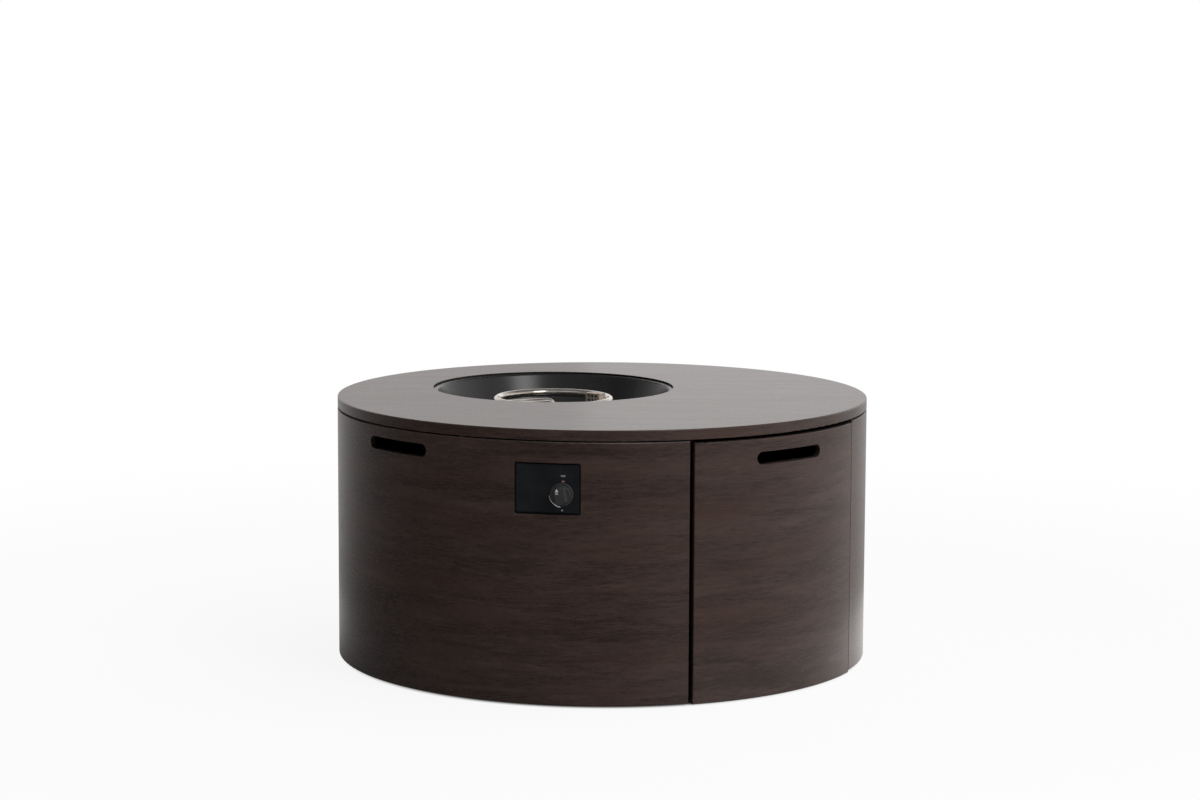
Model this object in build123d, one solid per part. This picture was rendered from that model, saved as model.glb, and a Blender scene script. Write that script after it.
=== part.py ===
"""Round gas fire table: a drum of wood-grained steel panels with a curved hinged door, a fire bowl
set off centre in the tabletop, a ring burner, and a valve with one push-and-turn knob."""

import os
from math import asin, cos, degrees, hypot, radians, sin, sqrt

from build123d import *

# Lengths are in millimetres and angles in degrees. An azimuth is measured from the door's middle (-Y),
# counter-clockwise as seen from above. A distance "out" is measured from the drum's axis.

# Sheet stock and clearances
SHEET = 1.5  # panels, door, tabletop and bowl
PLATE = 2.0  # base pan and valve bracket
FOLD_RADIUS = 3.0  # outside of the folds in brackets, rails and other small sheet pieces
EDGE_RADIUS = 1.0  # inside of the folded edges of the panels, the door and the tabletop
SEAT_GAP = 0.3  # between curved faces that seat on each other
RUN_GAP = 0.05  # radial clearance of a turning or sliding fit
HOLE_GAP = 0.3  # radial clearance of a fastener or pipe in its hole

# Drum
DRUM_RADIUS = 610.0  # outside of the tabletop and of the fixed panels
FOOT_HEIGHT = 6.0  # panels' lower edge above the floor
PANEL_HEIGHT = 572.0
PANEL_FLANGE = 25.0  # turned-in edges of the fixed panels
SEAM_AZ = 156.0  # rear seams between the side panels and the back panel
SEAM_GAP = 0.5  # hairline between two panels at a rear seam
NOTCH = 1.0  # corner relief between the turned-in edges

# Tabletop
TOP_THICKNESS = 24.0  # height of its skirt
TOP_REVEAL = 2.0  # shadow gap between the panels and the tabletop
TOP_HEM = 24.0  # turned-in lower edge of the skirt
RAIL_GAP = 38.0  # rear stiffening rail in front of the bowl's flange
RAIL_PITCH = 205.0  # front stiffening rail from the rear one
RAIL_WIDTH = 60.0
RAIL_FOOT = 15.0
RAIL_HEIGHT = 16.0
RAIL_END_GAP = 6.0

# Door
DOOR_HALF_ANGLE = 23.4
DOOR_PROUD = 3.0  # its face stands this far out from the panels
DOOR_SIDE_GAP = 8.0
DOOR_TOP_GAP = 6.2  # below the tabletop's skirt
DOOR_DROP = 2.0  # below the panels' lower edge
DOOR_FLANGE = 18.0
DOOR_LIP = 14.0  # returned edge on the catch side
DOOR_POST = 45.0  # depth of the panels' turned-in edges beside the door
STOP_LIP = 22.0  # light stop behind the door's free edge

# Hand slots in the door and in both side panels
SLOT_LENGTH = 194.0
SLOT_HEIGHT = 28.0
SLOT_COLLAR = 20.0  # depth of the rolled-in edge at the middle of a slot
SIDE_SLOT_AZ = 90.0
SIDE_SLOT_DROP = 39.0  # slot's middle below the panels' upper edge
DOOR_SLOT_DROP = 43.0  # slot's middle below the door's upper edge

# Door hinge
HINGE_INSET = 12.0  # pin from the door's edge, along its face
HINGE_DEPTH = 9.0  # pin behind the door's outer face
HINGE_RISE = 84.0  # lower gooseneck above the door's lower edge
HINGE_DROP = 99.8  # upper gooseneck below the door's upper edge
HINGE_PIN = 4.0  # pin radius
HINGE_PLATE = 4.0  # thickness of the goosenecks
HINGE_NOSE = 6.3  # radius of a gooseneck's end round its pin
HINGE_NECK = 10.0  # width of a gooseneck's neck
HINGE_BAND = 12.0  # width of a gooseneck's bend
HINGE_FOOT = 3.0
HINGE_FOOT_HEIGHT = 36.0
HINGE_CLEARANCE = 2.0  # between the bend and the door's swept edge
WASHER = 1.0
TAB = 3.0  # thickness of the door's hinge tabs
TAB_REACH = 14.0  # hinge tab past its pin, away from the hinge edge
TAB_BACK = 8.0  # hinge tab behind its pin
PIN_HEAD = 2.0
PIN_HEAD_RIM = 2.0
PIN_TIP = 6.0  # pin above the hinge tab

# Magnetic catches on the light stop
CATCH_RISE = 120.0  # lower catch above the door's lower edge
CATCH_DROP = 129.8  # upper catch below the door's upper edge
CATCH_WIDTH = 11.0
CATCH_HEIGHT = 48.0

# Base
TANK_SETBACK = 220.0  # middle of the gas cylinder's place behind the drum's front
COLLAR_RADIUS = 108.0  # inside of the ring that locates the cylinder's foot
COLLAR_HEIGHT = 30.0
COLLAR_FLANGE = 20.0
BASE_DOOR_RADIUS = 580.0  # base's edge in the door opening
VENT_COUNT = 10
VENT_SETBACK = 170.0  # vents from the drum's outside
VENT_FIRST_AZ = 54.0
VENT_LENGTH = 80.0
VENT_WIDTH = 12.0
DRAIN_RADIUS = 50.0

# Feet and fasteners of the drum
FOOT_AZ = (-148.0, -90.0, -32.0, 32.0, 90.0, 148.0)
FOOT_SETBACK = 50.0  # glides' middles from the drum's outside
FOOT_RADIUS = 18.0
FOOT_STEM = 4.0
FOOT_STEM_RISE = 6.0
RIVET_AZ = (-170.0, -136.0, -112.0, -70.0, -44.0, 44.0, 70.0, 112.0, 136.0, 170.0)
RIVET_RADIUS = 2.4
RIVET_HEAD = 4.6
RIVET_DOME = 1.5
TOP_SCREW_AZ = (-140.0, -108.0, -72.0, -38.0, 38.0, 72.0, 108.0, 140.0, 180.0)
SCREW_RADIUS = 2.5
SCREW_HEAD = 5.0
SCREW_HEAD_HEIGHT = 3.0
SCREW_RISE = 6.0  # screw above the hem
PAD_RADIUS = 11.0
SEAM_BOLT_END = 60.0  # outer seam bolts from the panels' lower and upper edges
BOLT_RADIUS = 3.0
BOLT_HEX = 5.8
BOLT_HEAD_HEIGHT = 4.0
BOLT_END = 2.0  # bolt past its nut

# Fire bowl
BOWL_OFFSET = 171.0  # its axis behind the drum's axis
HOLE_RADIUS = 282.0  # hole in the tabletop
BOWL_SEAT = 16.0  # bowl's flange beyond the hole
BOWL_MOUTH = 272.0  # where the flange meets the wall
BOWL_FLOOR = 236.0  # where the wall meets the floor
BOWL_DEPTH = 95.0
BOWL_SHOULDER = 6.0
BOWL_CORNER = 25.0
GASKET = 3.0
GASKET_INSET = 2.0
STUD_COUNT = 6
STUD_RADIUS = 2.5
STUD_TAIL = 9.0  # stud below the flange
STUD_NUT = 5.0
STUD_NUT_HEIGHT = 4.0

# Burner
RING_RADIUS = 133.5
RING_TUBE = 9.5
RING_DROP = 31.7  # ring's axis below the table surface
ARM_ANGLE = 161.0  # feed arm, counter-clockwise from +X
ARM_TUBE = 8.0
ARM_DROP = 2.8  # feed arm's axis below the ring's
ARM_BEND = 17.0
LOCKNUT = 15.0
LOCKNUT_HEIGHT = 8.0
MIXER_RADIUS = 14.0
MIXER_WALL = 2.5
MIXER_HEIGHT = 66.0
MIXER_SOCKET = 14.0
MIXER_GAP = 2.0  # below the lower locknut
AIR_HOLES = 4
AIR_HOLE = 5.0
ORIFICE_HEX = 11.0
ORIFICE_HEIGHT = 12.0
ORIFICE_STUB = 6.0
ORIFICE_SPIGOT = 8.0
ORIFICE_TAIL = 8.0

# Pilot
GUARD_ANGLE = -39.3  # round the bowl's axis, counter-clockwise from +X
GUARD_INSET = 34.5  # inside the ring's centreline
GUARD_TURN = -42.0
GUARD_LENGTH = 40.0
GUARD_WIDTH = 24.0
GUARD_HEIGHT = 38.0
GUARD_DROP = 15.6  # guard's top below the table surface
GUARD_WALL = 1.0
GUARD_SLOTS = 4
GUARD_SLOT_WIDTH = 4.0
GUARD_SLOT_LENGTH = 16.0
GUARD_SLOT_PITCH = 8.6
GUARD_HOLE = 3.2
GUARD_HOLE_PITCH = 10.0
GUARD_HOLE_DROP = 6.5  # centres of the upper holes below the guard's top
PILOT_FOOT = 16.0
PILOT_SPACING = 11.0  # thermocouple and electrode from the guard's middle
INSULATOR = 3.2
INSULATOR_UP = 16.0
SPARK_ROD = 1.2
SPARK_UP = 12.0
PROBE = 2.4
PROBE_UP = 26.0
PILOT_TAIL = 12.0
FLOOR_GROMMET = 6.0

# Heat shield under the bowl
SHIELD_RADIUS = 235.0
SHIELD_DROP = 28.0
SHIELD_RIM = 12.0
SHIELD_HOLE = 34.0
STANDOFF_OUT = 150.0
STANDOFF_RADIUS = 5.0
STANDOFF_COUNT = 4

# Control panel
CONTROL_AZ = -53.2
CONTROL_DROP = 101.3  # control plate's middle below the panels' upper edge
CONTROL_WIDTH = 140.0
CONTROL_HEIGHT = 107.0
CONTROL_THICK = 3.6
CONTROL_CORNER = 3.0
CONTROL_BEVEL = 1.6
CONTROL_GAP = 2.4  # between the control plate and its window
BRACKET_MARGIN = 24.0  # valve bracket beyond the control plate at each side
BRACKET_RISE = 12.0  # valve bracket beyond the control plate, above and below
BRACKET_WING = 14.0
BRACKET_GAP = 0.8  # adhesive tape between the wings and the panel

# Valve and knob
KNOB_X = 32.0  # knob right of the control plate's middle
KNOB_Y = -11.0  # knob above the control plate's middle
KNOB_RADIUS = 25.5
KNOB_SKIRT = 6.0
KNOB_CAP_RADIUS = 22.0
KNOB_CAP = 11.0
KNOB_BAR = 28.0  # width of the finger bar at its foot
KNOB_BAR_RISE = 9.0
KNOB_BAR_SLOPE = 15.0  # lean of the finger bar's flanks
KNOB_BAR_TILT = 9.0  # lean of the finger bar at OFF
KNOB_EDGE = 1.5
KNOB_GAP = 5.6  # knob in front of the control plate
KNOB_TRAVEL = 4.0
KNOB_SOCKET = 14.0
STEM_RADIUS = 4.0
STEM_REAR = 20.0  # stem behind the valve bracket
STEM_GUIDE = 14.0
PLUNGER_RADIUS = 5.0
PLUNGER_LENGTH = 18.0
VALVE_BARREL = 16.0
VALVE_LENGTH = 54.0
VALVE_FLANGE = 6.0
VALVE_FLANGE_WIDTH = 50.0
VALVE_FLANGE_HEIGHT = 36.0
INLET_BACK = 30.0  # inlet behind the valve bracket
INLET_BOSS = 9.5
INLET_DROP = 27.0
NIPPLE_HEX = 12.0
NIPPLE_HEX_HEIGHT = 9.0
NIPPLE_RADIUS = 7.9
NIPPLE_LENGTH = 16.0
OUTLET_BOSS = 7.0
OUTLET_LENGTH = 10.0

# Gas pipe and pilot leads
PIPE_RADIUS = 5.0
PIPE_RUN = 110.0  # straight length behind the valve
PIPE_DIP = 74.0  # lowest point under the orifice
PIPE_BEND = (120.0, 44.0)
FLARE_HEX = 9.5
FLARE_LENGTH = 15.0
LEAD_RADIUS = {"thermocouple_line": 1.2, "ignition_wire": 1.7}
LEAD_SIDE = {"thermocouple_line": -11.5, "ignition_wire": 11.5}  # from the valve's axis
LEAD_BEND = 8.0
LEAD_RUN = 60.0
LEAD_DROP = 14.0  # leads below the bowl

# Levels and radii that follow
PANEL_BOTTOM = FOOT_HEIGHT
PANEL_TOP = PANEL_BOTTOM + PANEL_HEIGHT
TOP_BOTTOM = PANEL_TOP + TOP_REVEAL
TOP_SURFACE = TOP_BOTTOM + TOP_THICKNESS
TOP_UNDER = TOP_SURFACE - SHEET
BASE_BOTTOM = PANEL_BOTTOM + SHEET
BASE_TOP = BASE_BOTTOM + PLATE
BASE_RADIUS = DRUM_RADIUS - SHEET - EDGE_RADIUS - SEAT_GAP
FLANGE_OUT = DRUM_RADIUS - PANEL_FLANGE / 2
EDGE_FOOT = BASE_TOP + NOTCH
EDGE_HEAD = PANEL_TOP - SHEET / 2
SEAM_BOLT_Z = (PANEL_BOTTOM + SEAM_BOLT_END, (PANEL_BOTTOM + PANEL_TOP) / 2, PANEL_TOP - SEAM_BOLT_END)
FOOT_OUT = DRUM_RADIUS - FOOT_SETBACK
TANK_OUT = DRUM_RADIUS - TANK_SETBACK
VENT_OUT = DRUM_RADIUS - VENT_SETBACK

DOOR_RADIUS = DRUM_RADIUS + DOOR_PROUD
DOOR_TOP = TOP_BOTTOM - DOOR_TOP_GAP
DOOR_BOTTOM = PANEL_BOTTOM - DOOR_DROP
OPENING_HALF_ANGLE = DOOR_HALF_ANGLE + degrees(DOOR_SIDE_GAP / DRUM_RADIUS)
HINGE_Z = (DOOR_BOTTOM + HINGE_RISE, DOOR_TOP - HINGE_DROP)
CATCH_Z = (DOOR_BOTTOM + CATCH_RISE, DOOR_TOP - CATCH_DROP)
PIN_OUT = DOOR_RADIUS - HINGE_DEPTH
PIN_AZ = DOOR_HALF_ANGLE - degrees(HINGE_INSET / PIN_OUT)
SWEPT_RADIUS = hypot(HINGE_INSET, max(HINGE_DEPTH, DOOR_FLANGE - HINGE_DEPTH))
BEND_INNER = SWEPT_RADIUS + HINGE_CLEARANCE
BEND_OUTER = BEND_INNER + HINGE_BAND

BOWL_TOP = TOP_UNDER - GASKET
BOWL_BASE = BOWL_TOP - BOWL_DEPTH
BOWL_UNDER = BOWL_BASE - SHEET
STUD_OUT = HOLE_RADIUS + (GASKET_INSET + BOWL_SEAT) / 2
RAIL_REAR = BOWL_OFFSET - HOLE_RADIUS - BOWL_SEAT - RAIL_GAP - RAIL_WIDTH / 2
RAIL_Y = (RAIL_REAR - RAIL_PITCH, RAIL_REAR)
RING_Z = TOP_SURFACE - RING_DROP
MIXER_TOP = BOWL_UNDER - LOCKNUT_HEIGHT - MIXER_GAP
MIXER_BOTTOM = MIXER_TOP - MIXER_HEIGHT
ORIFICE_BOTTOM = MIXER_BOTTOM - ORIFICE_HEIGHT - ORIFICE_TAIL
SHIELD_TOP = BOWL_UNDER - SHIELD_DROP
GUARD_BOTTOM = TOP_SURFACE - GUARD_DROP - GUARD_HEIGHT
GUARD_OUT = RING_RADIUS - GUARD_INSET
LEAD_Z = BOWL_UNDER - LEAD_DROP

CONTROL_Z = PANEL_TOP - CONTROL_DROP
BRACKET_WIDTH = CONTROL_WIDTH + 2 * BRACKET_MARGIN
BRACKET_WEB = DRUM_RADIUS - SHEET - BRACKET_GAP  # outside of the wings that lie on the panel
BRACKET_FACE = sqrt(BRACKET_WEB**2 - (BRACKET_WIDTH / 2) ** 2)
BRACKET_BACK = BRACKET_FACE - PLATE
CONTROL_FACE = BRACKET_FACE + CONTROL_THICK
KNOB_Z = CONTROL_Z + KNOB_Y
KNOB_BACK = CONTROL_FACE + KNOB_GAP
KNOB_SHOULDER = KNOB_BACK + KNOB_SKIRT + KNOB_CAP
VALVE_BACK = BRACKET_BACK - VALVE_LENGTH
STEM_BACK = BRACKET_BACK - STEM_REAR
PLUNGER_BACK = STEM_BACK - PLUNGER_LENGTH
OUTLET_BACK = VALVE_BACK - OUTLET_LENGTH
INLET_OUT = BRACKET_BACK - INLET_BACK

BOWL = Pos(0, BOWL_OFFSET, 0)
TANK = Pos(0, -TANK_OUT, 0)
CONTROL = Rot(0, 0, CONTROL_AZ)
PIVOT = Rot(0, 0, PIN_AZ) * Pos(0, -PIN_OUT, 0)
PILOT = BOWL * Rot(0, 0, GUARD_ANGLE) * Pos(GUARD_OUT, 0, 0) * Rot(0, 0, GUARD_TURN)


def arc_angle(length, radius):
    return degrees(length / radius)


def turned(face, az_start, az_end):
    """An outline in (out, height) turned about the drum's axis from one azimuth to another."""
    body = revolve(Plane.XZ * face, Axis.Z, revolution_arc=az_end - az_start)
    return Rot(0, 0, az_start - 90) * body


def band(out_inner, out_outer, low, high):
    return Pos((out_inner + out_outer) / 2, (low + high) / 2) * Rectangle(out_outer - out_inner, high - low)


def sector(out_inner, out_outer, low, high, az_start, az_end):
    return turned(band(out_inner, out_outer, low, high), az_start, az_end)


def ring(inner, outer, low, high):
    """A full ring about the Z axis."""
    return Pos(0, 0, low) * extrude(Circle(outer) - Circle(inner), high - low)


def outward(sketch, out_start, out_end, x=0.0, z=0.0, taper=0.0):
    """A sketch facing the viewer in front, extruded away from the drum's axis."""
    plane = Plane(origin=(x, -out_start, z), x_dir=(1, 0, 0), z_dir=(0, -1, 0))
    return extrude(plane * sketch, out_end - out_start, taper=taper)


def upright(radius, low, high):
    return Pos(0, 0, (low + high) / 2) * Cylinder(radius, high - low)


def on_flange(az):
    """The place on the panels' turned-in edges at an azimuth."""
    return Rot(0, 0, az) * Pos(0, -FLANGE_OUT, 0)


def hex_nut(across, bore, low, high):
    return Pos(0, 0, low) * extrude(RegularPolygon(across, 6) - Circle(bore), high - low)


def folded(points, radius, side, thickness=SHEET):
    """A bent sheet's edge-on outline, thickened to one side of its folds."""
    return make_face(offset(FilletPolyline(*points, radius=radius), thickness, side=side, closed=True))


def block(out_inner, out_outer, low, high, az_start, az_end, rounding):
    """A curved block whose outer edges are rounded."""
    solid = sector(out_inner, out_outer, low, high, az_start, az_end)
    face = solid.faces().filter_by(GeomType.CYLINDER).sort_by(SortBy.AREA)[-1]
    return fillet(face.edges(), rounding)


def tray(outer, depth, low, high, az_start, az_end):
    """A curved sheet with all four edges folded in towards the drum's axis."""
    thick = arc_angle(SHEET, outer)
    skin = block(outer - depth, outer, low, high, az_start, az_end, EDGE_RADIUS + SHEET)
    room = (outer - depth - SHEET, outer - SHEET, low + SHEET, high - SHEET)
    return skin - block(*room, az_start + thick, az_end - thick, EDGE_RADIUS)


def with_hand_slot(panel, radius, az, z):
    """A panel with an obround hand slot whose edge is rolled in."""
    start = radius - SLOT_COLLAR
    rim = outward(SlotOverall(SLOT_LENGTH + 2 * SHEET, SLOT_HEIGHT + 2 * SHEET), start, radius, z=z)
    rim = rim & Pos(0, 0, z) * Cylinder(radius - SHEET / 2, 2 * SLOT_HEIGHT)
    hole = outward(SlotOverall(SLOT_LENGTH, SLOT_HEIGHT), start, radius + SLOT_COLLAR, z=z)
    return panel + Rot(0, 0, az) * rim - Rot(0, 0, az) * hole


def flange_holes():
    """Fastener holes through the turned-in edges, the tabletop's hem and the base."""
    screw = upright(SCREW_RADIUS + HOLE_GAP, PANEL_TOP - PANEL_FLANGE, TOP_SURFACE - TOP_THICKNESS / 2)
    rivet = upright(RIVET_RADIUS + HOLE_GAP, 0, BASE_TOP + PANEL_FLANGE)
    placed = ((screw, TOP_SCREW_AZ), (rivet, RIVET_AZ))
    return [on_flange(az) * hole for hole, azimuths in placed for az in azimuths]


def at_feet(shape):
    return [Rot(0, 0, az) * Pos(0, -FOOT_OUT, 0) * shape for az in FOOT_AZ]


def at_seams(shape):
    """A shape at each bolt of both rear seams, drawn with its axis along the seam's pitch line."""
    seat = DRUM_RADIUS - PANEL_FLANGE / 2
    return [Rot(0, 0, side * SEAM_AZ) * Pos(0, -seat, level) * Rot(0, 90 * side, 0) * shape
            for side in (-1, 1) for level in SEAM_BOLT_Z]


def seam_holes():
    reach = 2 * (SHEET + SEAM_GAP)
    return at_seams(upright(BOLT_RADIUS + HOLE_GAP, -reach, reach))


def fixed_panel(az_start, az_end):
    """A folded panel, notched at the feet of its upright folds so that the base lies in it."""
    panel = tray(DRUM_RADIUS, PANEL_FLANGE, PANEL_BOTTOM, PANEL_TOP, az_start, az_end)
    notch = (BASE_RADIUS - PANEL_FLANGE, BASE_RADIUS + SEAT_GAP, BASE_BOTTOM, EDGE_FOOT)
    return panel - sector(*notch, az_start, az_end)


def side_panel(side):
    """A fixed panel from the door opening to a rear seam; side is +1 at the hinge and -1 at the catch."""
    door_end = side * OPENING_HALF_ANGLE
    seam_end = side * (SEAM_AZ - arc_angle(SEAM_GAP / 2, DRUM_RADIUS))
    panel = fixed_panel(*sorted((door_end, seam_end)))
    post_out = DRUM_RADIUS - EDGE_RADIUS - 2 * SHEET
    post_az = sorted((door_end, door_end + side * arc_angle(SHEET, DRUM_RADIUS)))
    panel += sector(DRUM_RADIUS - DOOR_POST, post_out, EDGE_FOOT, EDGE_HEAD, *post_az)
    panel = with_hand_slot(panel, DRUM_RADIUS, side * SIDE_SLOT_AZ, PANEL_TOP - SIDE_SLOT_DROP)
    return panel - flange_holes() - seam_holes()


def left_panel():
    panel = side_panel(-1)
    stop_out = DRUM_RADIUS - DOOR_POST
    stop_start = -OPENING_HALF_ANGLE - arc_angle(SHEET, DRUM_RADIUS)
    stop_end = -OPENING_HALF_ANGLE + arc_angle(STOP_LIP, stop_out)
    panel += sector(stop_out, stop_out + SHEET, EDGE_FOOT, EDGE_HEAD, stop_start, stop_end)
    window = RectangleRounded(CONTROL_WIDTH + 2 * CONTROL_GAP, CONTROL_HEIGHT + 2 * CONTROL_GAP,
                              CONTROL_CORNER + CONTROL_GAP)
    return panel - CONTROL * outward(window, BRACKET_BACK, DOOR_RADIUS, z=CONTROL_Z)


def right_panel():
    return side_panel(1)


def back_panel():
    half = 180 - SEAM_AZ - arc_angle(SEAM_GAP / 2, DRUM_RADIUS)
    return fixed_panel(180 - half, 180 + half) - flange_holes() - seam_holes()


def seam_bolts():
    grip = SHEET + SEAM_GAP / 2
    head = Pos(0, 0, grip) * extrude(RegularPolygon(BOLT_HEX, 6), BOLT_HEAD_HEIGHT)
    return at_seams(head + upright(BOLT_RADIUS, -grip - BOLT_HEAD_HEIGHT - BOLT_END, grip))


def seam_nuts():
    grip = SHEET + SEAM_GAP / 2
    return at_seams(hex_nut(BOLT_HEX, BOLT_RADIUS + RUN_GAP, -grip - BOLT_HEAD_HEIGHT, -grip))


def tabletop():
    """Round tray with a straight skirt, whose lower edge is folded in to take the screws."""
    points = [(0, TOP_SURFACE), (DRUM_RADIUS, TOP_SURFACE), (DRUM_RADIUS, TOP_BOTTOM)]
    points += [(DRUM_RADIUS - TOP_HEM, TOP_BOTTOM)]
    top = revolve(Plane.XZ * folded(points, EDGE_RADIUS + SHEET, Side.RIGHT), Axis.Z)
    hole = BOWL * upright(HOLE_RADIUS, TOP_BOTTOM, TOP_SURFACE + TOP_THICKNESS)
    return top - hole - flange_holes()


def top_rails():
    """Hat-section stiffeners across the solid part of the tabletop."""
    rails = []
    for rail_y in RAIL_Y:
        half = RAIL_WIDTH / 2
        web = half - RAIL_FOOT
        low = TOP_UNDER - RAIL_HEIGHT
        points = [(-half, TOP_UNDER), (-web, TOP_UNDER), (-web, low)]
        points += [(-across, height) for across, height in reversed(points)]
        outline = Plane.YZ * folded(points, FOLD_RADIUS, Side.RIGHT)
        reach = sqrt((DRUM_RADIUS - TOP_HEM - RAIL_END_GAP) ** 2 - (abs(rail_y) + half) ** 2)
        rails.append(Pos(-reach, rail_y, 0) * extrude(outline, 2 * reach, dir=(1, 0, 0)))
    return rails


def top_pads():
    pad = ring(SCREW_RADIUS + HOLE_GAP, PAD_RADIUS, PANEL_TOP, TOP_BOTTOM)
    return [on_flange(az) * pad for az in TOP_SCREW_AZ]


def top_screws():
    seat = PANEL_TOP - SHEET
    screw = upright(SCREW_RADIUS, seat, TOP_BOTTOM + SHEET + SCREW_RISE)
    screw += upright(SCREW_HEAD, seat - SCREW_HEAD_HEIGHT, seat)
    return [on_flange(az) * screw for az in TOP_SCREW_AZ]


def base_pan():
    pan = upright(BASE_RADIUS, BASE_BOTTOM, BASE_TOP)
    pan -= sector(BASE_DOOR_RADIUS, DOOR_RADIUS, 0, PANEL_TOP, -OPENING_HALF_ANGLE, OPENING_HALF_ANGLE)
    pan -= TANK * upright(DRAIN_RADIUS, 0, PANEL_TOP)
    pitch = (360 - 2 * VENT_FIRST_AZ) / (VENT_COUNT - 1)
    vent = Pos(0, -VENT_OUT, 0) * extrude(SlotOverall(VENT_LENGTH, VENT_WIDTH), PANEL_TOP)
    vents = [Rot(0, 0, VENT_FIRST_AZ + index * pitch) * vent for index in range(VENT_COUNT)]
    stem_holes = at_feet(upright(FOOT_STEM + HOLE_GAP, 0, PANEL_TOP))
    return pan - vents - flange_holes() - stem_holes


def base_rivets():
    rivet = upright(RIVET_RADIUS, PANEL_BOTTOM - RIVET_DOME, BASE_TOP + RIVET_DOME)
    rivet += upright(RIVET_HEAD, BASE_TOP, BASE_TOP + RIVET_DOME)
    rivet += upright(RIVET_HEAD, PANEL_BOTTOM - RIVET_DOME, PANEL_BOTTOM)
    return [on_flange(az) * rivet for az in RIVET_AZ]


def feet():
    """Push-in glides under the base, set back out of sight."""
    pad = upright(FOOT_RADIUS, 0, BASE_BOTTOM)
    pad = fillet(pad.edges().group_by(Axis.Z)[0], FOOT_HEIGHT / 4)
    return at_feet(pad + upright(FOOT_STEM, BASE_BOTTOM, BASE_TOP + FOOT_STEM_RISE))


def tank_collar():
    """Ring on the base that locates the foot of a gas cylinder."""
    points = [(COLLAR_RADIUS, BASE_TOP + COLLAR_HEIGHT), (COLLAR_RADIUS, BASE_TOP),
              (COLLAR_RADIUS + COLLAR_FLANGE, BASE_TOP)]
    return TANK * revolve(Plane.XZ * folded(points, FOLD_RADIUS, Side.LEFT), Axis.Z)


def at_studs(shape):
    step = 360 / STUD_COUNT
    return [BOWL * Rot(0, 0, index * step) * Pos(0, STUD_OUT, 0) * shape for index in range(STUD_COUNT)]


def stud_holes():
    return at_studs(upright(STUD_RADIUS + HOLE_GAP, BOWL_UNDER, TOP_UNDER))


def fire_bowl():
    points = [(HOLE_RADIUS + BOWL_SEAT, BOWL_TOP), (BOWL_MOUTH, BOWL_TOP)]
    points += [(BOWL_FLOOR, BOWL_BASE), (0, BOWL_BASE)]
    outline = folded(points, [BOWL_SHOULDER, BOWL_CORNER], Side.LEFT)
    bowl = BOWL * revolve(Plane.XZ * outline, Axis.Z)
    bowl -= BOWL * upright(ARM_TUBE + HOLE_GAP, SHIELD_TOP, BOWL_TOP)
    for side in (-1, 1):
        bowl -= PILOT * Pos(side * PILOT_SPACING, 0, 0) * upright(FLOOR_GROMMET, SHIELD_TOP, BOWL_TOP)
    return bowl - stud_holes()


def bowl_gasket():
    seal = ring(HOLE_RADIUS + GASKET_INSET, HOLE_RADIUS + BOWL_SEAT, BOWL_TOP, TOP_UNDER)
    return BOWL * seal - stud_holes()


def bowl_studs():
    return at_studs(upright(STUD_RADIUS, BOWL_TOP - STUD_TAIL, TOP_UNDER))


def bowl_nuts():
    seat = BOWL_TOP - SHEET
    return at_studs(hex_nut(STUD_NUT, STUD_RADIUS + RUN_GAP, seat - STUD_NUT_HEIGHT, seat))


def burner_ring():
    """Bent ring tube with its feed arm, which runs to the middle and turns down through the bowl's floor."""
    arm_z = RING_Z - ARM_DROP
    start = (RING_RADIUS * cos(radians(ARM_ANGLE)), RING_RADIUS * sin(radians(ARM_ANGLE)), arm_z)
    path = FilletPolyline(start, (0, 0, arm_z), (0, 0, MIXER_TOP - MIXER_SOCKET), radius=ARM_BEND)
    arm = sweep(Plane(origin=path @ 0, z_dir=path % 0) * Circle(ARM_TUBE), path=path)
    return BOWL * (Pos(0, 0, RING_Z) * Torus(RING_RADIUS, RING_TUBE) + arm)


def burner_locknuts():
    bore = ARM_TUBE + HOLE_GAP
    upper = hex_nut(LOCKNUT, bore, BOWL_BASE, BOWL_BASE + LOCKNUT_HEIGHT)
    lower = hex_nut(LOCKNUT, bore, BOWL_UNDER - LOCKNUT_HEIGHT, BOWL_UNDER)
    return [BOWL * upper, BOWL * lower]


def venturi_mixer():
    """Air mixer under the bowl: a socket on the feed arm, a chamber with air holes and a neck."""
    body = upright(MIXER_RADIUS, MIXER_BOTTOM, MIXER_TOP)
    body -= upright(ARM_TUBE + HOLE_GAP, MIXER_TOP - MIXER_SOCKET, MIXER_TOP)
    body -= upright(ARM_TUBE - MIXER_WALL, MIXER_BOTTOM, MIXER_TOP)
    chamber_top = MIXER_TOP - MIXER_SOCKET - MIXER_WALL
    body -= upright(MIXER_RADIUS - MIXER_WALL, MIXER_BOTTOM + ORIFICE_SPIGOT, chamber_top)
    body -= upright(ORIFICE_STUB + HOLE_GAP, MIXER_BOTTOM, MIXER_BOTTOM + ORIFICE_SPIGOT)
    hole = Pos(MIXER_RADIUS, 0, (MIXER_BOTTOM + ORIFICE_SPIGOT + chamber_top) / 2) * Rot(0, 90, 0)
    hole = hole * Cylinder(AIR_HOLE, MIXER_RADIUS)
    return BOWL * (body - [Rot(0, 0, index * 360 / AIR_HOLES) * hole for index in range(AIR_HOLES)])


def gas_orifice():
    body = upright(ORIFICE_STUB, ORIFICE_BOTTOM, MIXER_BOTTOM + ORIFICE_SPIGOT)
    body += Pos(0, 0, MIXER_BOTTOM - ORIFICE_HEIGHT) * extrude(RegularPolygon(ORIFICE_HEX, 6), ORIFICE_HEIGHT)
    return BOWL * body


def at_control(x, out, z):
    """A point behind the control panel, given across, out from the drum's axis and up."""
    turn = radians(CONTROL_AZ)
    return (x * cos(turn) + out * sin(turn), x * sin(turn) - out * cos(turn), z)


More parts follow.
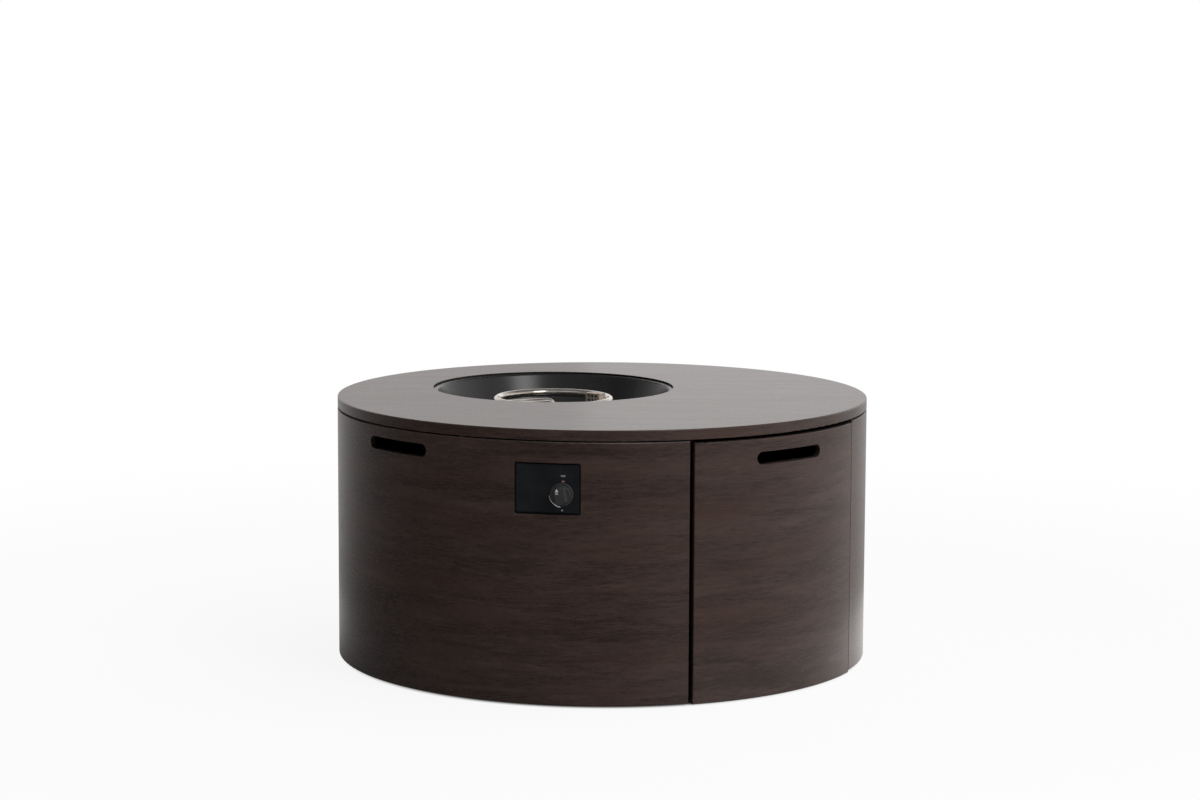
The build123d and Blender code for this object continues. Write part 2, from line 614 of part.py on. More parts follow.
def gas_pipe():
    """Rigid tube from the valve's outlet to the orifice under the bowl."""
    points = [at_control(KNOB_X, OUTLET_BACK, KNOB_Z), at_control(KNOB_X, OUTLET_BACK - PIPE_RUN, KNOB_Z)]
    points += [(0, BOWL_OFFSET, ORIFICE_BOTTOM - PIPE_DIP), (0, BOWL_OFFSET, ORIFICE_BOTTOM)]
    path = FilletPolyline(*points, radius=list(PIPE_BEND))
    return sweep(Plane(origin=path @ 0, z_dir=path % 0) * Circle(PIPE_RADIUS), path=path)


def flare_nuts():
    bore = PIPE_RADIUS + RUN_GAP
    at_valve = outward(RegularPolygon(FLARE_HEX, 6) - Circle(bore), OUTLET_BACK - FLARE_LENGTH, OUTLET_BACK,
                       KNOB_X, KNOB_Z)
    at_burner = hex_nut(FLARE_HEX, bore, ORIFICE_BOTTOM - FLARE_LENGTH, ORIFICE_BOTTOM)
    return [CONTROL * at_valve, BOWL * at_burner]


def pilot_lead(name):
    """A thin lead from the pilot, under the bowl, to the back of the valve."""
    side = LEAD_SIDE[name]
    spot = (PILOT * Pos(PILOT_SPACING if side > 0 else -PILOT_SPACING, 0, 0)).position
    across = KNOB_X + side
    turn = VALVE_BACK - LEAD_RUN
    points = [(spot.X, spot.Y, GUARD_BOTTOM - SHEET - PILOT_TAIL), (spot.X, spot.Y, LEAD_Z)]
    points += [at_control(across, turn, LEAD_Z), at_control(across, turn, KNOB_Z)]
    points += [at_control(across, VALVE_BACK, KNOB_Z)]
    path = FilletPolyline(*points, radius=LEAD_BEND)
    return sweep(Plane(origin=path @ 0, z_dir=path % 0) * Circle(LEAD_RADIUS[name]), path=path)


def thermocouple_line():
    return pilot_lead("thermocouple_line")


def ignition_wire():
    return pilot_lead("ignition_wire")


def pilot_guard():
    """Perforated hood over the electrode and the thermocouple, open below."""
    hood = Box(GUARD_LENGTH, GUARD_WIDTH, GUARD_HEIGHT)
    walls = 2 * GUARD_WALL
    hood -= Pos(0, 0, -GUARD_WALL) * Box(GUARD_LENGTH - walls, GUARD_WIDTH - walls, GUARD_HEIGHT)
    slot = Rot(0, 0, 90) * SlotOverall(GUARD_SLOT_LENGTH, GUARD_SLOT_WIDTH)
    slots = Sketch() + GridLocations(GUARD_SLOT_PITCH, 1, GUARD_SLOTS, 1) * slot
    hood -= extrude(slots, GUARD_HEIGHT)
    middle = (GUARD_HEIGHT - GUARD_HOLE_PITCH) / 2 - GUARD_HOLE_DROP
    face = Plane(origin=(0, -GUARD_WIDTH, middle), x_dir=(1, 0, 0), z_dir=(0, -1, 0))
    holes = Sketch() + GridLocations(GUARD_HOLE_PITCH, GUARD_HOLE_PITCH, 3, 2) * Circle(GUARD_HOLE)
    hood -= extrude(face * holes, -2 * GUARD_WIDTH)
    end = Plane(origin=(GUARD_LENGTH, 0, 0), x_dir=(0, 1, 0), z_dir=(1, 0, 0))
    hood -= extrude(end * SlotOverall(GUARD_SLOT_LENGTH, 2 * GUARD_HOLE), -GUARD_LENGTH)
    return PILOT * Pos(0, 0, GUARD_BOTTOM + GUARD_HEIGHT / 2) * hood


def pilot_bracket():
    """Bent strip that stands on the bowl's floor and carries the pilot."""
    half = GUARD_LENGTH / 2
    low = BOWL_BASE + SHEET
    points = [(-half - PILOT_FOOT, low), (-half, low), (-half, GUARD_BOTTOM), (half, GUARD_BOTTOM)]
    strip = extrude(Plane.XZ * folded(points, FOLD_RADIUS, Side.RIGHT), GUARD_WIDTH / 2, both=True)
    for side, radius in ((-1, PROBE), (1, INSULATOR)):
        hole = upright(radius + RUN_GAP, GUARD_BOTTOM - PILOT_TAIL, TOP_SURFACE)
        strip -= Pos(side * PILOT_SPACING, 0, 0) * hole
    return PILOT * strip


def spark_electrode():
    top = GUARD_BOTTOM + INSULATOR_UP
    body = upright(INSULATOR, GUARD_BOTTOM - SHEET - PILOT_TAIL, top)
    body += upright(SPARK_ROD, top, top + SPARK_UP)
    return PILOT * Pos(PILOT_SPACING, 0, 0) * body


def thermocouple():
    probe = upright(PROBE, GUARD_BOTTOM - SHEET - PILOT_TAIL, GUARD_BOTTOM + PROBE_UP)
    probe = fillet(probe.edges().group_by(Axis.Z)[-1], PROBE / 2)
    return PILOT * Pos(-PILOT_SPACING, 0, 0) * probe


def heat_shield():
    points = [(SHIELD_RADIUS, SHIELD_TOP - SHIELD_RIM), (SHIELD_RADIUS, SHIELD_TOP)]
    points += [(SHIELD_HOLE, SHIELD_TOP)]
    return BOWL * revolve(Plane.XZ * folded(points, FOLD_RADIUS, Side.LEFT), Axis.Z)


def shield_standoffs():
    post = upright(STANDOFF_RADIUS, SHIELD_TOP, BOWL_UNDER)
    step = 360 / STANDOFF_COUNT
    place = Pos(STANDOFF_OUT, 0, 0)
    return [BOWL * Rot(0, 0, step * (index + 0.5)) * place * post for index in range(STANDOFF_COUNT)]


def panel_bracket():
    """Sheet behind the control window: a flat middle, and two wings that lie on the drum's panel."""
    face = Rectangle(BRACKET_WIDTH, CONTROL_HEIGHT + 2 * BRACKET_RISE)
    plate = outward(face, BRACKET_BACK, BRACKET_FACE, z=CONTROL_Z)
    edge = degrees(asin(BRACKET_WIDTH / 2 / BRACKET_WEB))
    tip = edge + arc_angle(BRACKET_WING, BRACKET_WEB)
    root = edge - arc_angle(PLATE, BRACKET_WEB)
    half = CONTROL_HEIGHT / 2 + BRACKET_RISE
    wing = (BRACKET_WEB - PLATE, BRACKET_WEB, CONTROL_Z - half, CONTROL_Z + half)
    plate += sector(*wing, root, tip) + sector(*wing, -tip, -root)
    return CONTROL * (plate - stem_hole())


def stem_hole():
    return outward(Circle(STEM_RADIUS + HOLE_GAP), VALVE_BACK, KNOB_BACK, KNOB_X, KNOB_Z)


def control_panel():
    face = RectangleRounded(CONTROL_WIDTH, CONTROL_HEIGHT, CONTROL_CORNER)
    plate = outward(face, BRACKET_FACE, CONTROL_FACE, z=CONTROL_Z)
    plate = chamfer(plate.faces().sort_by(Axis.Y)[0].edges(), CONTROL_BEVEL)
    return CONTROL * (plate - stem_hole())


def valve_body():
    """Brass valve behind the bracket: barrel, fixing flange, inlet below and outlet behind."""
    flange = RectangleRounded(VALVE_FLANGE_WIDTH, VALVE_FLANGE_HEIGHT, VALVE_FLANGE)
    body = outward(flange, BRACKET_BACK - VALVE_FLANGE, BRACKET_BACK, KNOB_X, KNOB_Z)
    body += outward(Circle(VALVE_BARREL), VALVE_BACK, BRACKET_BACK - VALVE_FLANGE, KNOB_X, KNOB_Z)
    body += outward(Circle(OUTLET_BOSS), OUTLET_BACK, VALVE_BACK, KNOB_X, KNOB_Z)
    body += Pos(KNOB_X, -INLET_OUT, 0) * upright(INLET_BOSS, KNOB_Z - INLET_DROP, KNOB_Z)
    guide = outward(Circle(STEM_RADIUS + RUN_GAP), STEM_BACK, BRACKET_BACK, KNOB_X, KNOB_Z)
    bore_back = PLUNGER_BACK - KNOB_TRAVEL - SEAT_GAP
    bore = outward(Circle(PLUNGER_RADIUS + RUN_GAP), bore_back, BRACKET_BACK - STEM_GUIDE, KNOB_X, KNOB_Z)
    return CONTROL * (body - guide - bore)


def inlet_nipple():
    """Flare nipple that takes a gas hose."""
    low = KNOB_Z - INLET_DROP - NIPPLE_HEX_HEIGHT
    body = Pos(0, 0, low) * extrude(RegularPolygon(NIPPLE_HEX, 6), NIPPLE_HEX_HEIGHT)
    body += upright(NIPPLE_RADIUS, low - NIPPLE_LENGTH, low)
    return CONTROL * Pos(KNOB_X, -INLET_OUT, 0) * body


def valve_plunger():
    return CONTROL * outward(Circle(PLUNGER_RADIUS), PLUNGER_BACK, STEM_BACK, KNOB_X, KNOB_Z)


def valve_stem():
    return CONTROL * outward(Circle(STEM_RADIUS), STEM_BACK, KNOB_BACK + KNOB_SOCKET, KNOB_X, KNOB_Z)


def knob():
    """Skirted knob with a broad finger bar across its face, whose flanks slope."""
    skirt = outward(Circle(KNOB_RADIUS), KNOB_BACK, KNOB_BACK + KNOB_SKIRT, KNOB_X, KNOB_Z)
    skirt = fillet(skirt.edges().group_by(Axis.Y)[0], KNOB_EDGE)
    cap = outward(Circle(KNOB_CAP_RADIUS), KNOB_BACK + KNOB_SKIRT, KNOB_SHOULDER, KNOB_X, KNOB_Z)
    cap = fillet(cap.edges().group_by(Axis.Y)[0], KNOB_EDGE)
    grip = Circle(KNOB_CAP_RADIUS - KNOB_EDGE) & Rectangle(KNOB_BAR, 2 * KNOB_CAP_RADIUS)
    grip = Rot(0, 0, KNOB_BAR_TILT) * grip
    bar = outward(grip, KNOB_SHOULDER, KNOB_SHOULDER + KNOB_BAR_RISE, KNOB_X, KNOB_Z, KNOB_BAR_SLOPE)
    bar = fillet(bar.edges().group_by(Axis.Y)[0], KNOB_EDGE)
    socket = outward(Circle(STEM_RADIUS + RUN_GAP), KNOB_BACK, KNOB_BACK + KNOB_SOCKET, KNOB_X, KNOB_Z)
    return CONTROL * (skirt + cap + bar - socket)


def door():
    """Curved door panel with folded edges and a returned lip on its catch side."""
    lip = DOOR_RADIUS - DOOR_FLANGE
    panel = tray(DOOR_RADIUS, DOOR_FLANGE, DOOR_BOTTOM, DOOR_TOP, -DOOR_HALF_ANGLE, DOOR_HALF_ANGLE)
    lip_end = -DOOR_HALF_ANGLE + arc_angle(DOOR_LIP, lip)
    panel += sector(lip, lip + SHEET, DOOR_BOTTOM, DOOR_TOP, -DOOR_HALF_ANGLE, lip_end)
    return with_hand_slot(panel, DOOR_RADIUS, 0, DOOR_TOP - DOOR_SLOT_DROP)


def at_hinges(shape):
    """A hinge piece at both goosenecks; its height is from the gooseneck's upper face."""
    return [PIVOT * Pos(0, 0, level) * shape for level in HINGE_Z]


def hinge_goosenecks():
    """Arms fixed beside the opening that curl round the door's swept edge to carry the hinge pins."""
    middle = (BEND_INNER + BEND_OUTER) / 2
    curl = Circle(BEND_OUTER) - Circle(BEND_INNER)
    curl &= Pos(-BEND_OUTER / 2, BEND_OUTER / 2) * Rectangle(BEND_OUTER, BEND_OUTER)
    neck = Pos(-BEND_OUTER / 2, 0) * Rectangle(BEND_OUTER, HINGE_NECK)
    side = radians(OPENING_HALF_ANGLE - PIN_AZ) * (PIN_OUT - BEND_OUTER) - HINGE_FOOT / 2
    beam = Pos(side / 2, middle) * Rectangle(side, HINGE_BAND)
    outline = curl + neck + beam + Circle(HINGE_NOSE) - Circle(HINGE_PIN + RUN_GAP)
    arm = extrude(outline, -HINGE_PLATE)
    foot_out = PIN_OUT - BEND_OUTER - HINGE_BAND / 2
    foot_az = OPENING_HALF_ANGLE - arc_angle(HINGE_FOOT, PIN_OUT)
    foot = sector(foot_out, PIN_OUT - BEND_INNER, -HINGE_FOOT_HEIGHT / 2, HINGE_FOOT_HEIGHT / 2,
                  foot_az, OPENING_HALF_ANGLE)
    gooseneck = PIVOT * arm + foot
    return [Pos(0, 0, level) * gooseneck for level in HINGE_Z]


def hinge_pins():
    pin = upright(HINGE_PIN, -HINGE_PLATE - PIN_HEAD, WASHER + TAB + PIN_TIP)
    pin = chamfer(pin.edges().group_by(Axis.Z)[-1], PIN_HEAD / 2)
    return at_hinges(pin + upright(HINGE_PIN + PIN_HEAD_RIM, -HINGE_PLATE - PIN_HEAD, -HINGE_PLATE))


def hinge_washers():
    return at_hinges(ring(HINGE_PIN + RUN_GAP, HINGE_NOSE, 0, WASHER))


def door_hinge_tabs():
    """Tabs inside the door that drop over the hinge pins."""
    right = HINGE_INSET - SHEET - 2 * SEAT_GAP
    front = HINGE_DEPTH - SHEET - SEAT_GAP
    leaf = RectangleRounded(right + TAB_REACH, front + TAB_BACK, EDGE_RADIUS)
    outline = Pos((right - TAB_REACH) / 2, (TAB_BACK - front) / 2) * leaf - Circle(HINGE_PIN + RUN_GAP)
    return at_hinges(Pos(0, 0, WASHER) * extrude(outline, TAB))


def magnet_catches():
    stop = DRUM_RADIUS - DOOR_POST + SHEET + SEAT_GAP
    strike = DOOR_RADIUS - DOOR_FLANGE - SEAT_GAP
    az = -DOOR_HALF_ANGLE + arc_angle(DOOR_LIP / 2, strike)
    magnet = Rectangle(CATCH_WIDTH, CATCH_HEIGHT)
    return [Rot(0, 0, az) * outward(magnet, stop, strike, z=level) for level in CATCH_Z]


PIECES = [
    base_pan, feet, left_panel, right_panel, back_panel, seam_bolts, seam_nuts, base_rivets, tank_collar,
    hinge_goosenecks, hinge_pins, hinge_washers, magnet_catches, door, door_hinge_tabs,
    panel_bracket, control_panel, valve_body, inlet_nipple, valve_plunger, valve_stem, knob,
    tabletop, top_rails, top_pads, top_screws, fire_bowl, bowl_gasket, bowl_studs, bowl_nuts,
    burner_ring, burner_locknuts, venturi_mixer, gas_orifice, heat_shield, shield_standoffs,
    pilot_bracket, pilot_guard, spark_electrode, thermocouple, gas_pipe, flare_nuts,
    thermocouple_line, ignition_wire,
]

os.makedirs("parts", exist_ok=True)
for piece in PIECES:
    shape = piece()
    if isinstance(shape, list):
        shape = Compound(children=[solid for item in shape for solid in item.solids()])
    export_step(shape, f"parts/{piece.__name__}.step")
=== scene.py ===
from math import cos, pi, radians, sin

import bmesh
import bpy
from mathutils import Matrix, Vector


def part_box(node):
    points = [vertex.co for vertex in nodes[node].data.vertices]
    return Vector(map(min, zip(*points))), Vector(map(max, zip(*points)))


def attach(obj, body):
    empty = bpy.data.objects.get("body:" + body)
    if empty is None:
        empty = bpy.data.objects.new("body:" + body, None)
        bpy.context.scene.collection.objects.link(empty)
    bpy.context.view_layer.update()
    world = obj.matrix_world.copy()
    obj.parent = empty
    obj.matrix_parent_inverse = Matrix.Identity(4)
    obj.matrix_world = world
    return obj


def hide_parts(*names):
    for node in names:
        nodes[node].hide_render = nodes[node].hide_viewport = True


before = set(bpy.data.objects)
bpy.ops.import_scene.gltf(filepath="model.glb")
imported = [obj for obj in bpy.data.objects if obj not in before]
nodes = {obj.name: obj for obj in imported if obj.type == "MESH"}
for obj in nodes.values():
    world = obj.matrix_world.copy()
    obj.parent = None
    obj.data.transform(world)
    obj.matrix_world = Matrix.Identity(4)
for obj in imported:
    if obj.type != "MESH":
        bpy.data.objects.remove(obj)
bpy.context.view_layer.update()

# Studio
# A pale seamless floor in a room whose walls are white behind the table and dim behind the camera. Soft light
# comes from the right, a lamp at the front adds the gleam in the bowl, and a weak one at the far right lifts
# that half of the tabletop.
VIEW_TURN = radians(-42.16)
VIEW_PITCH = radians(90 - 7.537)
VIEW_ROLL = radians(0.24)
VIEW_PLACE = (-4.81188, -5.30677, 1.53657)
VIEW_LENS = 93.6886
SENSOR_WIDTH = 36.0
BACK_SIDE = (0.93, 0.22, 0.28)
RIGHT_SIDE = (0.643, -0.766, 0.0)
LIGHT_SIDE = (0.70, -0.40, 0.59)
FRONT_SIDE = (-0.66, -0.75, 0.0)
UPWARD = (0.0, 0.0, 1.0)
ROOM_LEVEL = 0.11
BACK_LEVEL = 0.83
RIGHT_LEVEL = 0.38
STRIP_LEVEL = 0.42
OVERHEAD_LOSS = 0.90
LIGHT_LEAST = 0.01
LIGHT_RISE = 1.50
BLACK = (0.0, 0.0, 0.0)
FULL_WHITE = (2.0, 2.0, 2.0)  # twice white, because a level goes up to 2
WARM_WHITE = (2.0, 1.945, 1.930)
TABLE_MIDDLE = (0.0, 0.2, 0.5)
TABLE_RIGHT = (0.3, -0.25, 0.6)
FLOOR_RADIUS = 9.0
FLOOR_SHADE = (0.84, 0.84, 0.84, 1.0)
FOOTPRINT = (0.58, 0.61)  # from under the drum's wall to its outside


class Signal:
    """A shader socket that takes part in Python arithmetic."""

    def __init__(self, tree, socket):
        self.tree = tree
        self.socket = socket

    def node(self, kind, settings, sockets, output=0):
        """A new node of a kind, with its settings made first and then its sockets set or linked."""
        made = self.tree.nodes.new(kind)
        for name, value in settings.items():
            if name == "stops":
                ramp = made.color_ramp
                while len(ramp.elements) < len(value):
                    ramp.elements.new(1.0)
                for element, (position, colour) in zip(ramp.elements, value):
                    element.position = position
                    element.color = (*colour, 1.0)
            else:
                setattr(made, name, value)
        for name, value in sockets.items():
            if isinstance(value, Signal):
                self.tree.links.new(value.socket, made.inputs[name])
            else:
                made.inputs[name].default_value = value
        return Signal(self.tree, made.outputs[output])

    def math(self, operation, first, second):
        return self.node("ShaderNodeMath", {"operation": operation}, {0: first, 1: second})

    def __add__(self, other):
        return self.math("ADD", self, other)

    def __radd__(self, other):
        return self.math("ADD", other, self)

    def __sub__(self, other):
        return self.math("SUBTRACT", self, other)

    def __rsub__(self, other):
        return self.math("SUBTRACT", other, self)

    def __mul__(self, other):
        return self.math("MULTIPLY", self, other)

    def __rmul__(self, other):
        return self.math("MULTIPLY", other, self)

    def larger(self, other):
        return self.math("MAXIMUM", self, other)

    def ease(self, low, high):
        """0 below low and 1 above high, with a soft rise between them."""
        settings = {"interpolation_type": "SMOOTHSTEP"}
        return self.node("ShaderNodeMapRange", settings, {"Value": self, "From Min": low, "From Max": high})

    def along(self, direction):
        """How far a point or direction reaches along a direction."""
        return self.node("ShaderNodeVectorMath", {"operation": "DOT_PRODUCT"}, {0: self, 1: direction}, 1)

    def stretched(self, amounts):
        return self.node("ShaderNodeVectorMath", {"operation": "MULTIPLY"}, {0: self, 1: amounts})

    def moved(self, offset):
        return self.node("ShaderNodeVectorMath", {"operation": "ADD"}, {0: self, 1: offset})

    def length(self):
        return self.node("ShaderNodeVectorMath", {"operation": "LENGTH"}, {0: self}, 1)

    def noise(self, amounts, detail, roughness):
        """Noise over stretched coordinates, with about one wave in a unit."""
        sockets = {"Vector": self.stretched(amounts), "Scale": 1.0, "Detail": detail, "Roughness": roughness}
        return self.node("ShaderNodeTexNoise", {}, sockets)

    def between(self, first, second):
        """The colour this far from the first colour to the second."""
        first = first if isinstance(first, Signal) else (*first, 1.0)
        second = second if isinstance(second, Signal) else (*second, 1.0)
        return self.node("ShaderNodeMix", {"data_type": "RGBA"}, {0: self, 6: first, 7: second}, 2)

    def ramp(self, *stops):
        return self.node("ShaderNodeValToRGB", {"stops": stops}, {"Fac": self})

    def relief(self, strength, depth):
        """A bump whose depth in metres follows this height."""
        return self.node("ShaderNodeBump", {}, {"Strength": strength, "Distance": depth, "Height": self})

    def into(self, node, socket):
        self.tree.links.new(self.socket, node.inputs[socket])


def show(name, data):
    piece = bpy.data.objects.new(name, data)
    bpy.context.scene.collection.objects.link(piece)
    return piece


def soft_lamp(name, place, aim, width, height, power):
    lamp = bpy.data.lights.new(name, "AREA")
    lamp.shape = "RECTANGLE"
    lamp.size = width
    lamp.size_y = height
    lamp.energy = power
    stand = show(name, lamp)
    stand.location = place
    stand.rotation_euler = (Vector(aim) - Vector(place)).to_track_quat("-Z", "Y").to_euler()


def room_level(direction):
    """How bright the room looks in a direction: white at the back, dim overhead, a strip over the front."""
    height = direction.along(UPWARD)
    right = RIGHT_LEVEL * direction.along(RIGHT_SIDE).ease(0.2, 0.65)
    back = BACK_LEVEL * direction.along(BACK_SIDE).ease(-0.9, 0.8)
    dimmed = right.larger(back) * (1 - OVERHEAD_LOSS * height.ease(0.30, 0.75))
    strip = height.ease(0.45, 0.62) * (1 - height.ease(0.74, 0.88))
    return ROOM_LEVEL + dimmed + STRIP_LEVEL * strip * direction.along(FRONT_SIDE).ease(0.0, 0.5)


def ray_kinds(tree):
    """Masks for what the camera sees straight and for what it sees in a mirror or through glass."""
    path = tree.nodes.new("ShaderNodeLightPath")
    by_eye = Signal(tree, path.outputs["Is Camera Ray"])
    by_gloss = Signal(tree, path.outputs["Is Glossy Ray"])
    by_glass = Signal(tree, path.outputs["Is Transmission Ray"])
    return by_eye, by_gloss.larger(by_glass)


def glow_colour(level, by_eye):
    """A level as plain white for the camera, and as a slightly warm white for everything else."""
    return (level * 0.5).between(BLACK, by_eye.between(WARM_WHITE, FULL_WHITE))


eye = bpy.data.cameras.new("photo_view")
eye.sensor_width = SENSOR_WIDTH
eye.lens = VIEW_LENS
eye_stand = show("photo_view", eye)
turn = Matrix.Rotation(VIEW_TURN, 4, "Z") @ Matrix.Rotation(VIEW_PITCH, 4, "X")
eye_stand.matrix_world = Matrix.Translation(VIEW_PLACE) @ turn @ Matrix.Rotation(VIEW_ROLL, 4, "Z")
bpy.context.scene.camera = eye_stand
bpy.context.scene.view_settings.view_transform = "Standard"

room = bpy.data.worlds.new("studio_room")
room.use_nodes = True
room.cycles.sampling_method = "NONE"
bpy.context.scene.world = room
facing = Signal(room.node_tree, room.node_tree.nodes.new("ShaderNodeTexCoord").outputs["Generated"])
by_eye, mirrored = ray_kinds(room.node_tree)
light = LIGHT_LEAST + LIGHT_RISE * facing.along(LIGHT_SIDE).ease(0.0, 1.0)
level = by_eye + (1 - by_eye) * (mirrored * room_level(facing) + (1 - mirrored) * light)
glow_colour(level, by_eye).into(room.node_tree.nodes["Background"], "Color")
soft_lamp("front_lamp", (-0.40, -3.43, 3.6), TABLE_MIDDLE, width=1.6, height=2.2, power=56)
soft_lamp("far_right_lamp", (2.2, 1.4, 0.95), TABLE_RIGHT, width=1.5, height=0.9, power=1.0)

sheet = bmesh.new()
bmesh.ops.create_circle(sheet, cap_ends=True, segments=96, radius=FLOOR_RADIUS)
floor_mesh = bpy.data.meshes.new("floor")
sheet.to_mesh(floor_mesh)
sheet.free()
floor_paper = bpy.data.materials.new("floor_paper")
floor_paper.use_nodes = True
paper = floor_paper.node_tree
shader = paper.nodes["Principled BSDF"]
shader.inputs["Base Color"].default_value = FLOOR_SHADE
shader.inputs["Roughness"].default_value = 0.9
shader.inputs["Specular IOR Level"].default_value = 0.1
by_eye, mirrored = ray_kinds(paper)
spot = Signal(paper, paper.nodes.new("ShaderNodeTexCoord").outputs["Object"])
from_middle = spot.length()
way_out = spot.node("ShaderNodeVectorMath", {"operation": "NORMALIZE"}, {0: spot})
# Metal mirrors the floor brighter close to the drum than further out.
near = 1.45 - 0.77 * from_middle.ease(0.75, 1.30) + 0.08 * from_middle.ease(2.0, 3.0)
level = by_eye + (1 - by_eye) * room_level(way_out) * near
glow = by_eye.node("ShaderNodeEmission", {}, {"Color": glow_colour(level, by_eye)})
# To the camera it is white paper, which keeps a tenth of the drum's shadow close to the drum.
plain = by_eye * (0.90 + 0.10 * from_middle.ease(1.2, 3.5))
share = plain.larger(mirrored) * from_middle.ease(*FOOTPRINT)
lit = Signal(paper, shader.outputs["BSDF"])
mixed = share.node("ShaderNodeMixShader", {}, {0: share, 1: lit, 2: glow})
mixed.into(paper.nodes["Material Output"], "Surface")
floor_mesh.materials.append(floor_paper)
floor = show("floor", floor_mesh)

# Side and back panels
# Rolled steel sheets with folded edges that make the drum's wall. A dark wood grain is printed into their
# powder coat, with its fine streaks running round the drum. They are bolted together at the rear seams.
GRAIN_TONES = ((0.37, (0.0255, 0.0160, 0.0136)), (0.50, (0.0480, 0.0295, 0.0240)),
               (0.63, (0.0745, 0.0460, 0.0370)))
GRAIN_WARM = (0.0600, 0.0315, 0.0228)
GRAIN_PORE = (0.0160, 0.0096, 0.0082)
# The inside is a dark coat that is also painted shade: it darkens the slots' lips and the drum's inside,
# which lie in shade.
INSIDE_COAT_AND_SHADE = (0.0270, 0.0195, 0.0170)
GRAIN_DEPTH = 0.0003
SIDE_RELIEF = 0.16
PRINT_EDGE = 0.0009  # under a sheet's outside, within its thickness
PRINT_FADE = 0.0004
NO_HEIGHT = (1.0, 1.0, 0.0)
COAT_SHEEN = {"Specular IOR Level": 0.35}
ZINC_BRIGHT = (0.62, 0.62, 0.60)


def new_finish(name, constants):
    """A material, the coordinates of the piece that wears it, and its shader with the constants set."""
    material = bpy.data.materials.new(name)
    material.use_nodes = True
    tree = material.node_tree
    surface = tree.nodes["Principled BSDF"]
    for socket, value in constants.items():
        surface.inputs[socket].default_value = value
    return material, Signal(tree, tree.nodes.new("ShaderNodeTexCoord").outputs["Object"]), surface


def wood_grain(place, surface, printed, relief):
    """A grain that runs along the first two coordinates, and where it isn't printed a plain dark inside coat
    that also paints the shade in the slots' lips.
    """
    sway = place.noise((3.0, 3.0, 9.0), 2.0, 0.5)
    place = place.moved(sway.node("ShaderNodeCombineXYZ", {}, {2: sway * 0.024}))
    figure = place.noise((3.4, 3.4, 26.0), 3.0, 0.55)
    streak = place.noise((9.0, 9.0, 105.0), 5.0, 0.65)
    dash = place.noise((38.0, 38.0, 360.0), 3.0, 0.6)
    pores = place.noise((38.0, 38.0, 900.0), 1.0, 0.5).ease(0.58, 0.72)
    warm = place.noise((2.2, 2.2, 15.0), 2.0, 0.5).ease(0.48, 0.72)
    peel = place.noise((520.0, 520.0, 520.0), 2.0, 0.5)
    grain = (figure * 0.36 + streak * 0.34 + dash * 0.30).ramp(*GRAIN_TONES)
    grain = (warm * 0.5).between(grain, GRAIN_WARM)
    grain = (pores * 0.45).between(grain, GRAIN_PORE)
    printed.between(INSIDE_COAT_AND_SHADE, grain).into(surface, "Base Color")
    (0.38 - printed * 0.17 + dash * 0.08 + figure * 0.06).into(surface, "Roughness")
    carved = printed * (streak + dash - pores) * 0.4
    (carved + peel * 0.12).relief(relief, GRAIN_DEPTH).into(surface, "Normal")


def wear(names, material):
    """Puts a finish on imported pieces."""
    for name in names:
        for slot in nodes[name].material_slots:
            slot.material = material


def outside(place, name):
    """1 on the outside of a rolled piece and 0 on its inside, by the distance from the drum's axis."""
    edge = max(vertex.co.xy.length for vertex in nodes[name].data.vertices) - PRINT_EDGE
    return place.stretched(NO_HEIGHT).length().ease(edge - PRINT_FADE, edge + PRINT_FADE)


panel_grain, place, surface = new_finish("woodgrain_panels", COAT_SHEEN)
wood_grain(place, surface, outside(place, "left_panel"), SIDE_RELIEF)
wear(["left_panel", "right_panel", "back_panel"], panel_grain)


def plated_steel(name, colour, gloss):
    """Bright plated or bare metal with faint smears."""
    material, place, surface = new_finish(name, {"Metallic": 1.0})
    smear = place.noise((60.0, 60.0, 60.0), 4.0, 0.6)
    speck = place.noise((700.0, 700.0, 700.0), 2.0, 0.5)
    dull = tuple(part * 0.72 for part in colour)
    smear.ease(0.35, 0.75).between(colour, dull).into(surface, "Base Color")
    (gloss + smear * 0.16 + speck * 0.05).into(surface, "Roughness")
    speck.relief(0.2, 0.00005).into(surface, "Normal")
    return material


zinc = plated_steel("bright_zinc", ZINC_BRIGHT, 0.22)
wear(["seam_bolts", "seam_nuts"], zinc)

# Base
# A black powder-coated steel disc with vents and a drain, riveted into the panels' lower folds. It stands on
# six push-in plastic glides and carries the rolled ring that a gas cylinder's foot stands in.
COAT_BLACK = (0.018, 0.018, 0.019)
GLIDE_BLACK = (0.020, 0.020, 0.021)
COLLAR_FLANGE = (0.0, -0.390, 0.0110)
COLLAR_RIVETS = 6
COLLAR_RIVET_RING = 0.118
RIVET_RADIUS = 0.0042
RIVET_HEIGHT = 0.0020
RIVET_DOME = ((1.0, 0.15, 0), (0.86, 0.55, 0), (0.6, 0.86, 0), (0.2, 1.0, 0))
HEAD_SINK = 0.0004  # how far a head's foot lies below the face that it sits on


def powder_coat(name, colour, gloss):
    """Black or coloured powder coat with its pebbled skin and a little dust."""
    material, place, surface = new_finish(name, {"Specular IOR Level": 0.4})
    dust = place.noise((14.0, 14.0, 14.0), 5.0, 0.65)
    pebble = place.noise((620.0, 620.0, 620.0), 2.0, 0.5)
    light = tuple(part * 1.7 + 0.004 for part in colour)
    (dust.ease(0.45, 0.8) * 0.6).between(colour, light).into(surface, "Base Color")
    (gloss + dust * 0.14 + pebble * 0.06).into(surface, "Roughness")
    pebble.relief(0.3, 0.00012).into(surface, "Normal")
    return material


